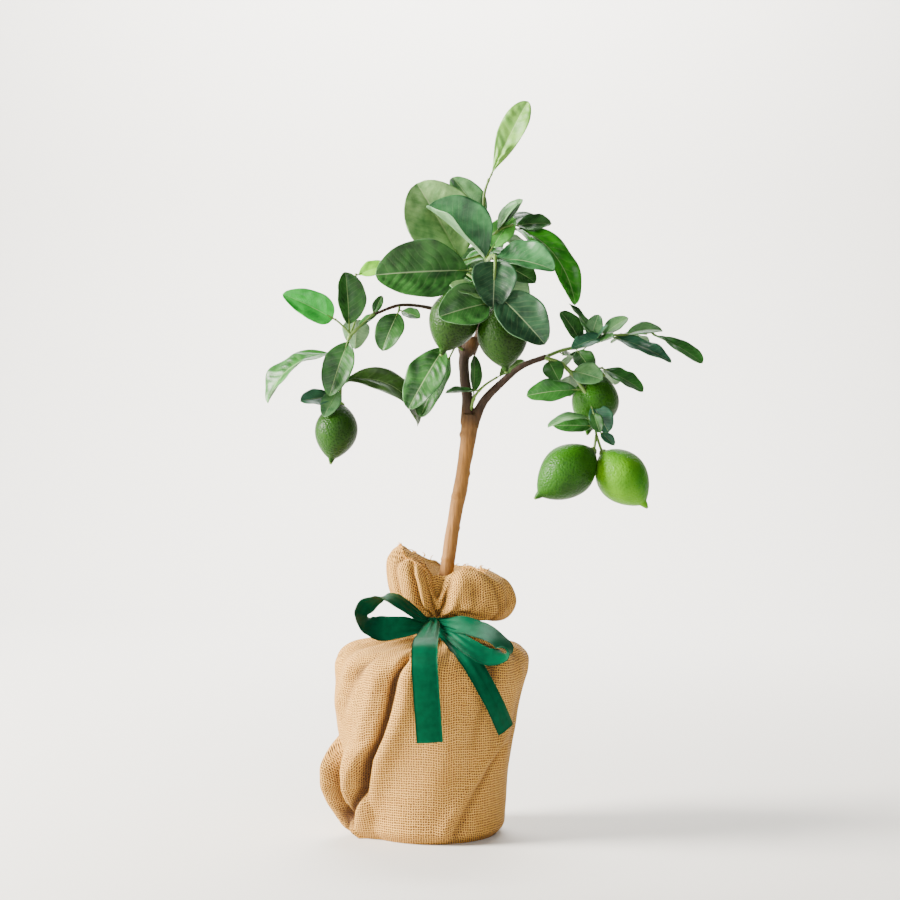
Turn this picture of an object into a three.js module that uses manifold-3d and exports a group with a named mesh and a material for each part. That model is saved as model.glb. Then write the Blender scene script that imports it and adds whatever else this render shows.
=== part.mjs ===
// A young lime tree whose root ball stands in a tied hessian sack.
// Millimetres, +Z up, +X to the right and +Y away from the front of the tree.
// The origin is the centre of the flat underside of the sack.
import * as THREE from "three";
import Module from "manifold-3d";

const wasm = await Module();
wasm.setup();

// Driving dimensions of the root ball in its sack.
const FOOT_RADIUS = 70;
const SHOULDER_RADIUS = 92;
const SHOULDER_HEIGHT = 158;
const NECK_X = 5;
const NECK_RADIUS = 22;
const NECK_HEIGHT = 208;
const SACK_SIDES = 36;
const GAP = 0.3;

// The sack's outline from its foot to its neck, as radius and height.
const SACK_PROFILE = [
  [FOOT_RADIUS - 9, 0],
  [FOOT_RADIUS - 1, 9],
  [FOOT_RADIUS, 24],
  [FOOT_RADIUS + 2, 48],
  [FOOT_RADIUS + 4, 68],
  [FOOT_RADIUS + 6, 84],
  [FOOT_RADIUS + 8, 98],
  [SHOULDER_RADIUS - 11, SHOULDER_HEIGHT - 40],
  [SHOULDER_RADIUS - 4, SHOULDER_HEIGHT - 16],
  [SHOULDER_RADIUS, SHOULDER_HEIGHT],
  [SHOULDER_RADIUS - 2, SHOULDER_HEIGHT + 12],
  [SHOULDER_RADIUS - 12, SHOULDER_HEIGHT + 20],
  [SHOULDER_RADIUS - 30, SHOULDER_HEIGHT + 24],
  [NECK_RADIUS + 22, NECK_HEIGHT - 23],
  [NECK_RADIUS + 9, NECK_HEIGHT - 21],
  [NECK_RADIUS, NECK_HEIGHT - 18],
  [NECK_RADIUS, NECK_HEIGHT],
];

// The loose fold of cloth at the sack's lower left: height, bearing and how far it stands out.
const FLAP_STATIONS = [
  [0, 229, 16],
  [9, 216, 25],
  [24, 204, 34],
  [48, 198, 38],
  [68, 196, 37],
  [84, 191, 24],
  [98, 187, 8],
  [128, 183, 0],
];
const FLAP_WIDTH = 17;
const SLACK_BEARING = 188;
const SLACK_WIDTH = 40;
const SLACK_OUT = 13;

// The collar of cloth above the tie: bearing, radius and height of its belly, radius and
// height of its crest, and the height of its underside.
const RUFF_STATIONS = [
  [0, 75, 222, 48, 249, 203],
  [25, 68, 224, 46, 252, 206],
  [60, 52, 228, 40, 254, 214],
  [100, 44, 232, 36, 258, 217],
  [140, 44, 240, 34, 266, 221],
  [170, 46, 246, 36, 272, 224],
  [200, 46, 240, 34, 268, 221],
  [225, 38, 228, 28, 254, 215],
  [248, 28, 220, 20, 238, 212],
  [264, 23.5, 215, 17, 227, 210],
  [280, 27, 220, 20, 246, 212],
  [298, 36, 222, 27, 251, 211],
  [325, 56, 220, 40, 252, 205],
  [345, 72, 217, 47, 249, 201],
];
const RUFF_HOLE = 12.5;
const RUFF_SIDES = 32;

// The satin ribbon.
const RIBBON_WIDTH = 24;
const RIBBON_THICKNESS = 1.2;
const BAND_HEIGHT = 16;
const BAND_MIDDLE = 199;
const KNOT_CENTRE = [1, -30, 199];
const KNOT_SIZE = [8, 6, 9];

// Limbs, from foot to tip, each station as x, y, z and radius.
const FORK_HEIGHT = 399;
const TRUNK_STATIONS = [
  [7, -2, NECK_HEIGHT - 8, 7.9],
  [14.5, -3, 252, 6.7],
  [22, -3, 303, 6.5],
  [27, -2, 328, 6.9],
  [31, -1, 354, 6.5],
  [35, 0, 379, 7.6],
  [37, 0, FORK_HEIGHT + 1, 8.8],
];
const LEADER_STATIONS = [
  [33.5, 0, FORK_HEIGHT - 4, 6.2],
  [34, 0, 414, 5.5],
  [31, 0.5, 439, 4.8],
  [31, 1, 455, 5.2],
  [36, 1, 464, 7.6],
  [38, 0, 475, 6],
];
const CROWN_BOUGH_STATIONS = [
  [38, 2, 462, 4.2],
  [49, 5, 490, 3.7],
  [53, 0, 518, 3.1],
  [53, -6, 543, 2.6],
];
const RIGHT_BOUGH_STATIONS = [
  [40, -1, 395, 5],
  [48, -3, 410, 4.5],
  [64, -8, 428, 3.6],
  [86, -12, 446, 2.9],
  [109, -14, 455, 2.5],
];
const LEFT_BOUGH_STATIONS = [
  [31, 1, 450, 2.6],
  [23, 6, 478, 2.3],
  [10, 5, 497, 2.1],
  [-5, 0, 503, 1.9],
  [-31, -6, 504.5, 1.7],
  [-56, -12, 495, 1.6],
];

// Leaves, twigs and fruit.
const LEAF_FOLD = 14;
const LEAF_WIDEST = 0.48;
const LONG_LEAF = 56;
const LEAF_THICKNESS = 1.4;
const STALK_RADII = [1.2, 1, 0.8];
const TWIG_SIDES = 4;
const FRUIT_SIDES = 11;
const FRUIT_RINGS = 8;
const GOLDEN_ANGLE = 137.5;
const FILL_TRIES = 5;
const FILL_STALK = 8;
const LIMB_MARGIN = 2;

const radians = THREE.MathUtils.degToRad;
const vector = (place) => new THREE.Vector3(place[0], place[1], place[2]);

function seeded(seed) {
  let state = seed;
  return () => {
    state = (state * 48271) % 2147483647;
    return state / 2147483647;
  };
}

// A unit vector: heading 0 is to the right, 90 to the back; rise is above the level.
function bearing(heading, rise) {
  const flat = Math.cos(radians(rise));
  return new THREE.Vector3(
    flat * Math.cos(radians(heading)),
    flat * Math.sin(radians(heading)),
    Math.sin(radians(rise)),
  );
}

function solidFrom(points, triangles) {
  const vertProperties = new Float32Array(points.length * 3);
  points.forEach((point, i) => vertProperties.set([point.x, point.y, point.z], i * 3));
  const triVerts = new Uint32Array(triangles.flat());
  return new wasm.Manifold(new wasm.Mesh({ numProp: 3, vertProperties, triVerts }));
}

// Skins a row of rings, each turning clockwise as seen along the row, and closes its ends.
function loft(rings, start, end) {
  const around = rings[0].length;
  const points = [...rings.flat(), start, end];
  const first = points.length - 2;
  const last = points.length - 1;
  const triangles = [];
  for (let i = 0; i < rings.length - 1; i += 1) {
    for (let j = 0; j < around; j += 1) {
      const a = i * around + j;
      const b = i * around + ((j + 1) % around);
      triangles.push([a, b, b + around], [a, b + around, a + around]);
    }
  }
  const end0 = (rings.length - 1) * around;
  for (let j = 0; j < around; j += 1) {
    const next = (j + 1) % around;
    triangles.push([first, next, j], [last, end0 + j, end0 + next]);
  }
  return solidFrom(points, triangles);
}

// Skins a closed round of rings, such as a collar.
function closedLoft(rings) {
  const around = rings[0].length;
  const count = rings.length;
  const triangles = [];
  for (let i = 0; i < count; i += 1) {
    for (let j = 0; j < around; j += 1) {
      const a = i * around + j;
      const b = i * around + ((j + 1) % around);
      const c = ((i + 1) % count) * around + ((j + 1) % around);
      const d = ((i + 1) % count) * around + j;
      triangles.push([a, b, c], [a, c, d]);
    }
  }
  return solidFrom(rings.flat(), triangles);
}

// The biggest single piece of a solid, with scraps and sealed hollows left out.
function largest(solid) {
  return solid.decompose().sort((a, b) => b.volume() - a.volume())[0];
}

function middle(ring) {
  const sum = ring.reduce((total, point) => total.add(point), new THREE.Vector3());
  return sum.divideScalar(ring.length);
}

// A smooth line through places, read at a share of its length from 0 to 1.
function lineThrough(places) {
  return new THREE.CatmullRomCurve3(places.map(vector), false, "catmullrom", 0.5);
}

// One tapering limb: round rings along a smooth line, flat cut at both ends, or grown all round.
function limb(places, radii, sides, steps, extra = 0) {
  const line = lineThrough(places);
  const rings = [];
  let up = new THREE.Vector3(0.13, -0.98, 0.15);
  for (let i = 0; i <= steps; i += 1) {
    const share = i / steps;
    const along = line.getTangent(share);
    up = up.clone().addScaledVector(along, -up.dot(along)).normalize();
    const right = new THREE.Vector3().crossVectors(along, up);
    const station = share * (radii.length - 1);
    const k = Math.min(Math.floor(station), radii.length - 2);
    const radius = THREE.MathUtils.lerp(radii[k], radii[k + 1], station - k) + extra;
    const centre = line.getPoint(share);
    if (i === 0) centre.addScaledVector(along, -extra);
    if (i === steps) centre.addScaledVector(along, extra);
    const ring = [];
    for (let j = 0; j < sides; j += 1) {
      const turn = (2 * Math.PI * j) / sides;
      ring.push(
        centre.clone()
          .addScaledVector(right, -Math.cos(turn) * radius)
          .addScaledVector(up, Math.sin(turn) * radius),
      );
    }
    rings.push(ring);
  }
  return loft(rings, middle(rings[0]), middle(rings[steps]));
}

function mainLimb([stations, sides, steps], extra = 0) {
  return limb(stations.map((s) => s.slice(0, 3)), stations.map((s) => s[3]), sides, steps, extra);
}

// A value read between the stations of a table whose first column rises.
function between(stations, at, column) {
  if (at <= stations[0][0]) return stations[0][column];
  for (let i = 1; i < stations.length; i += 1) {
    if (at <= stations[i][0]) {
      const share = (at - stations[i - 1][0]) / (stations[i][0] - stations[i - 1][0]);
      return THREE.MathUtils.lerp(stations[i - 1][column], stations[i][column], share);
    }
  }
  return stations[stations.length - 1][column];
}

// How far the sack stands out at a bearing and height, past its round outline.
function sackSwell(turn, height) {
  const centre = between(FLAP_STATIONS, height, 1);
  const out = between(FLAP_STATIONS, height, 2);
  const flap = out * Math.exp(-(((turn - centre) / FLAP_WIDTH) ** 2));
  const loose = THREE.MathUtils.smoothstep(height, 15, 85)
    * (1 - THREE.MathUtils.smoothstep(height, SHOULDER_HEIGHT - 40, SHOULDER_HEIGHT + 4));
  const slack = SLACK_OUT * Math.exp(-(((turn - SLACK_BEARING) / SLACK_WIDTH) ** 2));
  return Math.max(flap, slack * loose) + 1.5 * Math.cos(radians(5 * turn)) * loose;
}

function rootBallSack() {
  const rings = SACK_PROFILE.map(([radius, height], level) => {
    const ring = [];
    for (let j = 0; j < SACK_SIDES; j += 1) {
      const turn = (360 * j) / SACK_SIDES;
      const neck = THREE.MathUtils.smoothstep(height, SHOULDER_HEIGHT, NECK_HEIGHT - 18);
      const swell = level < SACK_PROFILE.length - 2 ? sackSwell(turn, height) : 0;
      const out = radius + swell * (1 - neck);
      ring.push(new THREE.Vector3(
        NECK_X * neck + out * Math.cos(radians(turn)),
        out * Math.sin(radians(turn)),
        height,
      ));
    }
    return ring;
  });
  return loft(rings, middle(rings[0]), middle(rings[rings.length - 1]));
}

// The gathered collar above the tie: it bellies out, crests and turns in to a funnel.
function sackRuff() {
  const closed = [...RUFF_STATIONS, [360, ...RUFF_STATIONS[0].slice(1)]];
  const foot = NECK_HEIGHT + GAP;
  const rings = [];
  for (let i = 0; i < RUFF_SIDES; i += 1) {
    const turn = (360 * i) / RUFF_SIDES;
    const row = [1, 2, 3, 4, 5].map((column) => between(closed, turn, column));
    const [belly, bellyZ, crest, crestZ, under] = row;
    const profile = [
      [RUFF_HOLE, foot],
      [RUFF_HOLE + 1, foot + 12],
      [Math.max(crest - 11, RUFF_HOLE + 2), crestZ - 6],
      [crest - 2, crestZ],
      [(crest + belly) / 2 + 5, crestZ * 0.68 + bellyZ * 0.32],
      [belly, bellyZ],
      [belly * 0.72 + NECK_RADIUS * 0.28, under],
      [NECK_RADIUS + 3, foot],
    ];
    rings.push(profile.map(([radius, height]) => new THREE.Vector3(
      NECK_X + radius * Math.cos(radians(turn)),
      radius * Math.sin(radians(turn)),
      height,
    )));
  }
  return closedLoft(rings);
}

function ribbonBand() {
  const inner = NECK_RADIUS + GAP;
  const outer = inner + RIBBON_THICKNESS;
  const low = BAND_MIDDLE - BAND_HEIGHT / 2;
  const high = BAND_MIDDLE + BAND_HEIGHT / 2;
  const rings = [];
  for (let i = 0; i < SACK_SIDES; i += 1) {
    const turn = radians((360 * i) / SACK_SIDES);
    rings.push([[inner, low], [inner, high], [outer, high], [outer, low]].map(([radius, height]) => (
      new THREE.Vector3(NECK_X + radius * Math.cos(turn), radius * Math.sin(turn), height)
    )));
  }
  return closedLoft(rings);
}

// A ribbon along a smooth line; each station is x, y, z, the heading and rise of its width,
// and its width, which is drawn together where the knot grips it.
function ribbonStrip(stations, steps) {
  const line = lineThrough(stations.map((s) => s.slice(0, 3)));
  const rings = [];
  for (let i = 0; i <= steps; i += 1) {
    const share = i / steps;
    const station = share * (stations.length - 1);
    const k = Math.min(Math.floor(station), stations.length - 2);
    const width = THREE.MathUtils.lerp(stations[k][5], stations[k + 1][5], station - k);
    const across = bearing(stations[k][3], stations[k][4])
      .lerp(bearing(stations[k + 1][3], stations[k + 1][4]), station - k);
    const along = line.getTangent(share);
    across.addScaledVector(along, -across.dot(along)).normalize();
    const face = new THREE.Vector3().crossVectors(across, along);
    const centre = line.getPoint(share);
    rings.push([[-1, -1], [-1, 1], [1, 1], [1, -1]].map(([side, top]) => (
      centre.clone()
        .addScaledVector(across, (side * width) / 2)
        .addScaledVector(face, (top * RIBBON_THICKNESS) / 2)
    )));
  }
  return loft(rings, middle(rings[0]), middle(rings[steps]));
}

const RIBBON_LOOP_LEFT = [
  [-3, -31, 203, 262, -20, 7],
  [-20, -34, 214, 262, -18, 16],
  [-42, -35, 226, 262, -16, RIBBON_WIDTH],
  [-60, -37, 226, 262, -16, RIBBON_WIDTH],
  [-69, -38, 216, 262, -18, RIBBON_WIDTH],
  [-64, -39, 205, 263, -32, RIBBON_WIDTH],
  [-47, -40, 199.5, 265, -48, RIBBON_WIDTH],
  [-26, -37, 199, 268, -50, 19],
  [-3, -31, 197, 268, -45, 7],
];
const RIBBON_LOOP_RIGHT = [
  [5, -31, 203, 278, -26, 7],
  [24, -46, 206, 276, -26, 19],
  [43, -60, 203, 272, -26, RIBBON_WIDTH],
  [59, -68, 194, 268, -22, RIBBON_WIDTH],
  [66, -71, 184, 266, -18, RIBBON_WIDTH],
  [57, -70, 179, 266, -20, RIBBON_WIDTH],
  [40, -64, 186, 268, -18, RIBBON_WIDTH],
  [22, -50, 197, 268, -20, 14],
  [5, -32, 198, 268, -40, 6],
];
const RIBBON_TAIL_FRONT = [
  [1, -30, 206, 0, 0, 9],
  [1, -41, 203, 0, 0, 13],
  [-2, -54, 193, 0, 0, 20],
  [-6, -70, 188, 0, 0, RIBBON_WIDTH],
  [-6, -89, 183, 0, 0, RIBBON_WIDTH],
  [-6, -98, 168, 0, 0, RIBBON_WIDTH],
  [-4, -95, 140, 0, 0, RIBBON_WIDTH],
  [-1, -90, 99, 0, 0, RIBBON_WIDTH],
];
const RIBBON_TAIL_RIGHT = [
  [4, -31, 194, 20, 0, 6],
  [14, -48, 186.5, 14, 0, 11],
  [25, -77, 180, 15, 5, 18],
  [39, -90, 167, 20, 14, 19],
  [58, -84, 138, 30, 20, 19],
  [70, -73, 108, 35, 12, 19],
];

function ribbonKnot(extra = 0) {
  const size = KNOT_SIZE.map((half) => half + extra);
  const rings = [];
  for (let i = 1; i < 6; i += 1) {
    const lift = -Math.cos((Math.PI * i) / 6);
    const girth = Math.sqrt(1 - lift * lift) ** 0.6;
    const ring = [];
    for (let j = 0; j < 10; j += 1) {
      const turn = (2 * Math.PI * j) / 10;
      ring.push(new THREE.Vector3(
        KNOT_CENTRE[0] + size[0] * girth * Math.cos(turn),
        KNOT_CENTRE[1] + size[1] * girth * Math.sin(turn),
        KNOT_CENTRE[2] + size[2] * lift,
      ));
    }
    rings.push(ring);
  }
  return loft(rings, middle(rings[0]), middle(rings[4]));
}

// A strip of ribbon cut back to just clear of the knot that grips it.
function tiedStrip(stations, steps) {
  return largest(ribbonStrip(stations, steps).subtract(ribbonKnot(GAP)));
}

// One leaf blade: folded along its midrib, arched along its length, pointed at both ends.
function leafPoints(leaf) {
  const along = bearing(leaf.heading, leaf.rise);
  const level = new THREE.Vector3(0, 0, 1).addScaledVector(along, -along.z).normalize();
  const front = new THREE.Vector3().crossVectors(along, level);
  if (front.y > 0) front.negate();
  const roll = radians(leaf.roll);
  const up = level.multiplyScalar(Math.cos(roll)).addScaledVector(front, Math.sin(roll));
  const side = new THREE.Vector3().crossVectors(along, up);
  const arch = radians(Math.max(leaf.arch, 1));
  const shape = Math.log(0.5) / Math.log(leaf.widest);
  const fold = radians(leaf.fold);
  const spans = leaf.long > LONG_LEAF ? 6 : 4;
  const stations = [];
  for (let i = 0; i <= spans; i += 1) {
    const share = i / spans;
    const bend = arch * (0.5 - share);
    const centre = leaf.base.clone()
      .addScaledVector(along, (leaf.long * (Math.sin(arch / 2) - Math.sin(bend))) / arch)
      .addScaledVector(up, (leaf.long * (Math.cos(bend) - Math.cos(arch / 2))) / arch);
    const lift = up.clone().multiplyScalar(Math.cos(bend)).addScaledVector(along, -Math.sin(bend));
    const half = (leaf.wide / 2) * Math.max(Math.sin(Math.PI * share ** shape), 0) ** 0.75;
    const edge = (sign) => centre.clone()
      .addScaledVector(side, sign * half * Math.cos(fold))
      .addScaledVector(lift, half * Math.sin(fold));
    stations.push({ centre, lift, left: edge(-1), right: edge(1) });
  }
  return stations;
}

function leafSolid(leaf) {
  const stations = leafPoints(leaf);
  const thick = Math.max(LEAF_THICKNESS, leaf.long / 60) / 2;
  const rings = stations.slice(1, -1).map((s) => [
    s.left,
    s.centre.clone().addScaledVector(s.lift, thick),
    s.right,
    s.centre.clone().addScaledVector(s.lift, -thick),
  ]);
  return loft(rings, stations[0].centre, stations[stations.length - 1].centre);
}

// A lime: round in the middle, drawn in at its stalk and out to a nipple at its tip.
function fruitRadius(share) {
  const body = Math.sin(Math.PI * Math.min(share / 0.9, 1) ** 0.92) ** 0.62;
  const nipple = 0.2 * Math.max(0, 1 - Math.abs(share - 0.88) / 0.13) ** 0.8;
  return Math.max(body * (share < 0.9 ? 1 : 0), nipple, 0.08);
}

function fruitSolid(fruit) {
  const top = vector(fruit.top);
  const axis = bearing(fruit.heading, fruit.rise);
  const right = new THREE.Vector3().crossVectors(axis, new THREE.Vector3(0.1, -0.99, 0.05)).normalize();
  const up = new THREE.Vector3().crossVectors(right, axis);
  const rings = [];
  for (let i = 1; i < FRUIT_RINGS; i += 1) {
    const share = i / FRUIT_RINGS;
    const radius = (fruit.wide / 2) * fruitRadius(share);
    const centre = top.clone().addScaledVector(axis, fruit.long * share);
    const ring = [];
    for (let j = 0; j < FRUIT_SIDES; j += 1) {
      const turn = (2 * Math.PI * j) / FRUIT_SIDES;
      ring.push(centre.clone()
        .addScaledVector(right, -Math.cos(turn) * radius)
        .addScaledVector(up, Math.sin(turn) * radius));
    }
    rings.push(ring);
  }
  return loft(rings, top, top.clone().addScaledVector(axis, fruit.long));
}

// A twig from a place, as legs of heading, rise and length.
function twigPlaces(start, legs) {
  const places = [vector(start)];
  for (const [heading, rise, long] of legs) {
    places.push(places[places.length - 1].clone().addScaledVector(bearing(heading, rise), long));
  }
  return places.map((place) => place.toArray());
}

// Each mass: twigs, then fruit, then the space and rule for the leaves on its hidden sides.
// A twig starts at a place or at a share of an earlier twig; its legs hold heading, rise
// and length. A leaf row holds share along the twig, stalk, heading, rise, length, width,
// arch and roll, then the share where the blade is widest and its fold where they differ.
const MASSES = [
  {
    name: "foliage_crown_top",
    colour: 0x47803a,
    twigs: [
      {
        start: [53, -5.7, 542], legs: [[95, 62, 38], [235, 86, 34], [337, 74, 19]], radii: [2.4, 1.1],
        leaves: [
          [0.96, 5, 350, 63, 80, 28, 14, 78, 0.66],
          [0.42, 4, 150, 53, 56, 32, 20, 40],
          [0.5, 4, 120, 20, 58, 34, 35, 20],
          [0.3, 4, 60, -5, 62, 36, 40, 15],
        ],
      },
      {
        from: [0, 0.24], legs: [[340, 40, 18], [351, 20, 14]], radii: [1.5, 1.1],
        leaves: [
          [1, 5, 336, -51, 106, 36, 84, 28],
          [0.9, 6, 352, 2, 34, 23, 20, 50],
          [0.4, 10, 345, 50, 30, 21, 20, 50],
          [0.3, 4, 325, 44, 36, 26, 25, 58],
          [0.6, 4, 40, 20, 44, 24, 30, 20],
        ],
      },
      {
        from: [0, 0.13], legs: [[190, -18, 26]], radii: [1.4, 1.1],
        leaves: [[1, 3, 177, 57, 82, 62, 18, 74]],
      },
    ],
  },
  {
    name: "foliage_crown_left",
    colour: 0x335f33,
    twigs: [
      {
        start: [52, -3, 524], legs: [[250, 20, 20], [226, 22, 14]], radii: [2, 1.5],
        leaves: [
          [1, 3, 192, -2, 92, 56, 22, 72],
        ],
      },
    ],
    fruit: [{ top: [31, -44, 517], heading: 195, rise: -70, long: 67, wide: 47, at: 1 }],
  },
  {
    name: "foliage_crown_front",
    colour: 0x3b6b40,
    twigs: [
      {
        start: [53, -6, 537.5], legs: [[274, 28, 20], [280, -6, 30], [250, -78, 44]], radii: [2, 1.3],
        leaves: [
          [0.28, 4, 172, 41, 75, 72, 16, 56, 0.5, 36],
          [0.36, 6, 337, -12, 62, 42, 36, 48, 0.48, 26],
          [0.42, 12, 348, -30, 38, 28, 20, 50],
          [0.62, 5, 264, -70, 48, 45, 20, 0, 0.4],
          [0.96, 5, 195, 16, 38, 22, 20, 45],
          [1, 5, 200, -16, 50, 46, 24, 74, 0.45],
          [0.9, 8, 334, -45, 66, 47, 22, 56],
        ],
      },
    ],
    fruit: [{ top: [64, -42, 503], heading: 330, rise: -84, long: 65, wide: 48, at: 3 }],
  },
  {
    name: "foliage_crown_back",
    colour: 0x2f5a30,
    twigs: [
      { start: [51, 5.5, 508], legs: [[85, 35, 32], [80, 50, 32]], radii: [2.2, 1.2] },
      { from: [0, 0.5], legs: [[25, 30, 28], [350, 20, 20]], radii: [1.4, 1] },
      { from: [0, 0.5], legs: [[155, 30, 30], [180, 20, 20]], radii: [1.4, 1] },
      { from: [0, 0.9], legs: [[95, 60, 26], [80, 74, 22]], radii: [1.3, 1] },
    ],
    space: [[4, 12, 482], [100, 128, 614]],
    fill: { seed: 31, every: 16, long: [52, 76], rise: [-60, 20], share: [0.5, 0.62] },
  },
  {
    name: "foliage_left",
    colour: 0x3a7034,
    twigs: [
      {
        start: [-54.8, -11.6, 495.6], legs: [[191, -42, 30], [158, -68, 14], [158, -74, 20], [250, -84, 28]],
        radii: [1.5, 1.1],
        leaves: [
          [0.02, 3, 40, 60, 20, 10, 10, 40],
          [0.2, 4, 15, 38, 27, 12, 20, 30],
          [0.28, 12, 183, 86, 50, 33, 14, 60],
          [0.3, 4, 225, -66, 57, 31, 18, 34],
          [0.5, 10, 186, -35, 90, 38, 90, 26, 0.6],
          [0.84, 4, 17, -30, 104, 30, 124, 10, 0.52],
          [0.99, 8, 203, -8, 32, 22, 15, 45],
          [0.9, 6, 236, -50, 33, 19, 20, 30],
        ],
      },
      {
        from: [0, 0.25], legs: [[190, 46, 13], [193, 40, 8]], radii: [1.1, 0.9],
        leaves: [[1, 3, 192, 25, 53, 34, 16, 66, 0.36]],
      },
      {
        from: [0, 0.3], legs: [[60, 62, 26], [95, 84, 40]], radii: [1.1, 0.9],
        leaves: [[1, 3, 9, 18, 30, 19, 15, 55]],
      },
    ],
    fruit: [{ top: [-87, -14, 410], heading: 205, rise: -80, long: 58, wide: 41, at: 3 }],
    space: [[-112, 0, 405], [-56, 56, 508]],
    fill: { seed: 17, every: 16, long: [36, 52], rise: [-66, 20], share: [0.5, 0.6] },
  },
  {
    name: "foliage_left_inner",
    colour: 0x37592c,
    twigs: [
      {
        start: [-31, -7.9, 502.9], legs: [[262, -50, 5]], radii: [1.2, 1],
        leaves: [
          [1, 3, 222, -62, 42, 30, 34, 40],
          [0.8, 3, 330, -20, 22, 15, 15, 40],
        ],
      },
    ],
  },
  {
    name: "foliage_low_left",
    colour: 0x4a7248,
    twigs: [
      {
        start: [31, 0, 461], legs: [[229, 21, 17], [212, 13, 12]], radii: [1.5, 1.1],
        leaves: [
          [0.8, 7, 209, -57, 70, 38, 16, 48],
          [0.4, 13, 186, -64, 64, 34, 16, 44],
        ],
      },
    ],
  },
  {
    name: "foliage_fork",
    colour: 0x2c4f2a,
    twigs: [
      {
        start: [37, -3, 404], legs: [[300, 58, 16], [348, 47, 14], [10, 33, 14]], radii: [1.6, 1],
        leaves: [
          [0.5, 5, 201, -5, 30, 15, 20, 25],
          [0.25, 7, 80, 82, 36, 18, 10, 60],
          [1, 4, 20, 30, 30, 16, 20, 30],
        ],
      },
    ],
  },
  {
    name: "foliage_right_upper",
    colour: 0x45704a,
    twigs: [
      {
        start: [107.5, -13.9, 454.5],
        legs: [[25, 20, 22], [6, 11, 22], [0, 29, 18], [355, 4, 23], [355, 6, 25]],
        radii: [1.9, 0.9],
        leaves: [
          [0.55, 6, 355, 34, 29, 19, 20, 50],
          [0.66, 4, 211, -18, 42, 21, 22, 32],
          [0.42, 12, 309, 9, 24, 19, 15, 34],
          [0.66, 5, 341, -24, 62, 22, 26, 20],
          [0.77, 4, 4, 6, 36, 16, 55, 10],
          [1, 3, 345, -31, 56, 20, 18, 20, 0.68],
          [0.3, 5, 303, -42, 26, 17, 20, 35],
        ],
      },
      {
        from: [0, 0.36], legs: [[345, 24, 9], [340, 10, 6]], radii: [1.1, 0.9],
        leaves: [
          [0.1, 4, 193, 54, 32, 22, 18, 56],
          [1, 3, 153, 53, 44, 14, 20, 15],
          [0.4, 4, 27, 69, 26, 17, 15, 56],
          [0.9, 3, 318, 45, 18, 12, 10, 40],
        ],
      },
    ],
    space: [[116, -2, 438], [222, 54, 494]],
    fill: { seed: 43, every: 14, long: [34, 50], rise: [-40, 35], share: [0.46, 0.56] },
  },
  {
    name: "foliage_right_lower",
    colour: 0x3d6d43,
    twigs: [
      {
        start: [108.6, -16.8, 453.6],
        legs: [[325, -20, 20], [336, -49, 31], [338, -65, 24], [311, -80, 22]],
        radii: [1.9, 1.2],
        leaves: [
          [0.31, 6, 330, -16, 32, 25, 15, 58],
          [0.5, 5, 189, -7, 50, 26, 22, 54, 0.55],
          [0.58, 10, 336, -58, 30, 24, 18, 54],
          [0.8, 6, 200, -12, 44, 18, 46, 20],
          [0.9, 4, 183, 0, 36, 21, 16, 54],
          [0.64, 12, 296, -58, 22, 14, 12, 30],
          [0.92, 7, 333, -41, 18, 12, 10, 40],
          [0.02, 4, 296, -44, 20, 15, 15, 34],
          [0.24, 4, 150, -69, 24, 16, 15, 44],
        ],
      },
      {
        from: [0, 0.34], legs: [[22, 8, 34]], radii: [1.1, 0.9],
        leaves: [[1, 3, 347, -30, 43, 24, 20, 34]],
      },
    ],
    fruit: [
      { top: [161, -22, 437], heading: 160, rise: -76, long: 58, wide: 45, at: 2 },
      { top: [152, -44, 366], heading: 186, rise: -39, long: 72, wide: 49, at: 4 },
      { top: [160, -41, 364], heading: 352, rise: -51, long: 67, wide: 48, at: 4 },
    ],
    space: [[116, -18, 368], [186, 42, 452]],
    fill: { seed: 71, every: 14, long: [30, 46], rise: [-60, 20], share: [0.5, 0.6] },
  },
];

// Each limb's stations, how many sides it has and how many lengths it is made in.
const LIMBS = {
  trunk: [TRUNK_STATIONS, 14, 14],
  leader: [LEADER_STATIONS, 12, 12],
  crown: [CROWN_BOUGH_STATIONS, 8, 9],
  right: [RIGHT_BOUGH_STATIONS, 8, 11],
  left: [LEFT_BOUGH_STATIONS, 6, 13],
};
const LIMB_SKINS = Object.values(LIMBS).map((row) => mainLimb(row, GAP));

// The trunk runs from a flat cut in the sack's neck to a flat cut at the fork; the other
// limbs start just clear of the one that bears them.
const leaderSkin = mainLimb(LIMBS.leader, GAP);
const trunk = mainLimb(LIMBS.trunk)
  .trimByPlane([0, 0, 1], NECK_HEIGHT + GAP)
  .trimByPlane([0, 0, -1], -FORK_HEIGHT);
const leader = mainLimb(LIMBS.leader).trimByPlane([0, 0, 1], FORK_HEIGHT + GAP);
const crownBough = largest(mainLimb(LIMBS.crown).subtract(leaderSkin));
const leftBough = largest(mainLimb(LIMBS.left).subtract(leaderSkin));
const rightBough = largest(
  mainLimb(LIMBS.right).trimByPlane([0, 0, 1], FORK_HEIGHT + GAP).subtract(leaderSkin),
);

const ALL_FRUIT = MASSES.flatMap((mass) => mass.fruit ?? []);

// Whether a place keeps clear of every limb and every fruit.
function clearOfAll(place) {
  for (const [stations] of Object.values(LIMBS)) {
    for (let i = 1; i < stations.length; i += 1) {
      const span = new THREE.Line3(vector(stations[i - 1]), vector(stations[i]));
      const near = span.closestPointToPoint(place, true, new THREE.Vector3());
      if (near.distanceTo(place) < Math.max(stations[i - 1][3], stations[i][3]) + LIMB_MARGIN) return false;
    }
  }
  for (const fruit of ALL_FRUIT) {
    const axis = bearing(fruit.heading, fruit.rise);
    const core = new THREE.Line3(
      vector(fruit.top).addScaledVector(axis, fruit.wide * 0.4),
      vector(fruit.top).addScaledVector(axis, fruit.long - fruit.wide * 0.4),
    );
    const near = core.closestPointToPoint(place, true, new THREE.Vector3());
    if (near.distanceTo(place) < fruit.wide / 2 + LIMB_MARGIN) return false;
  }
  return true;
}

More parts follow.
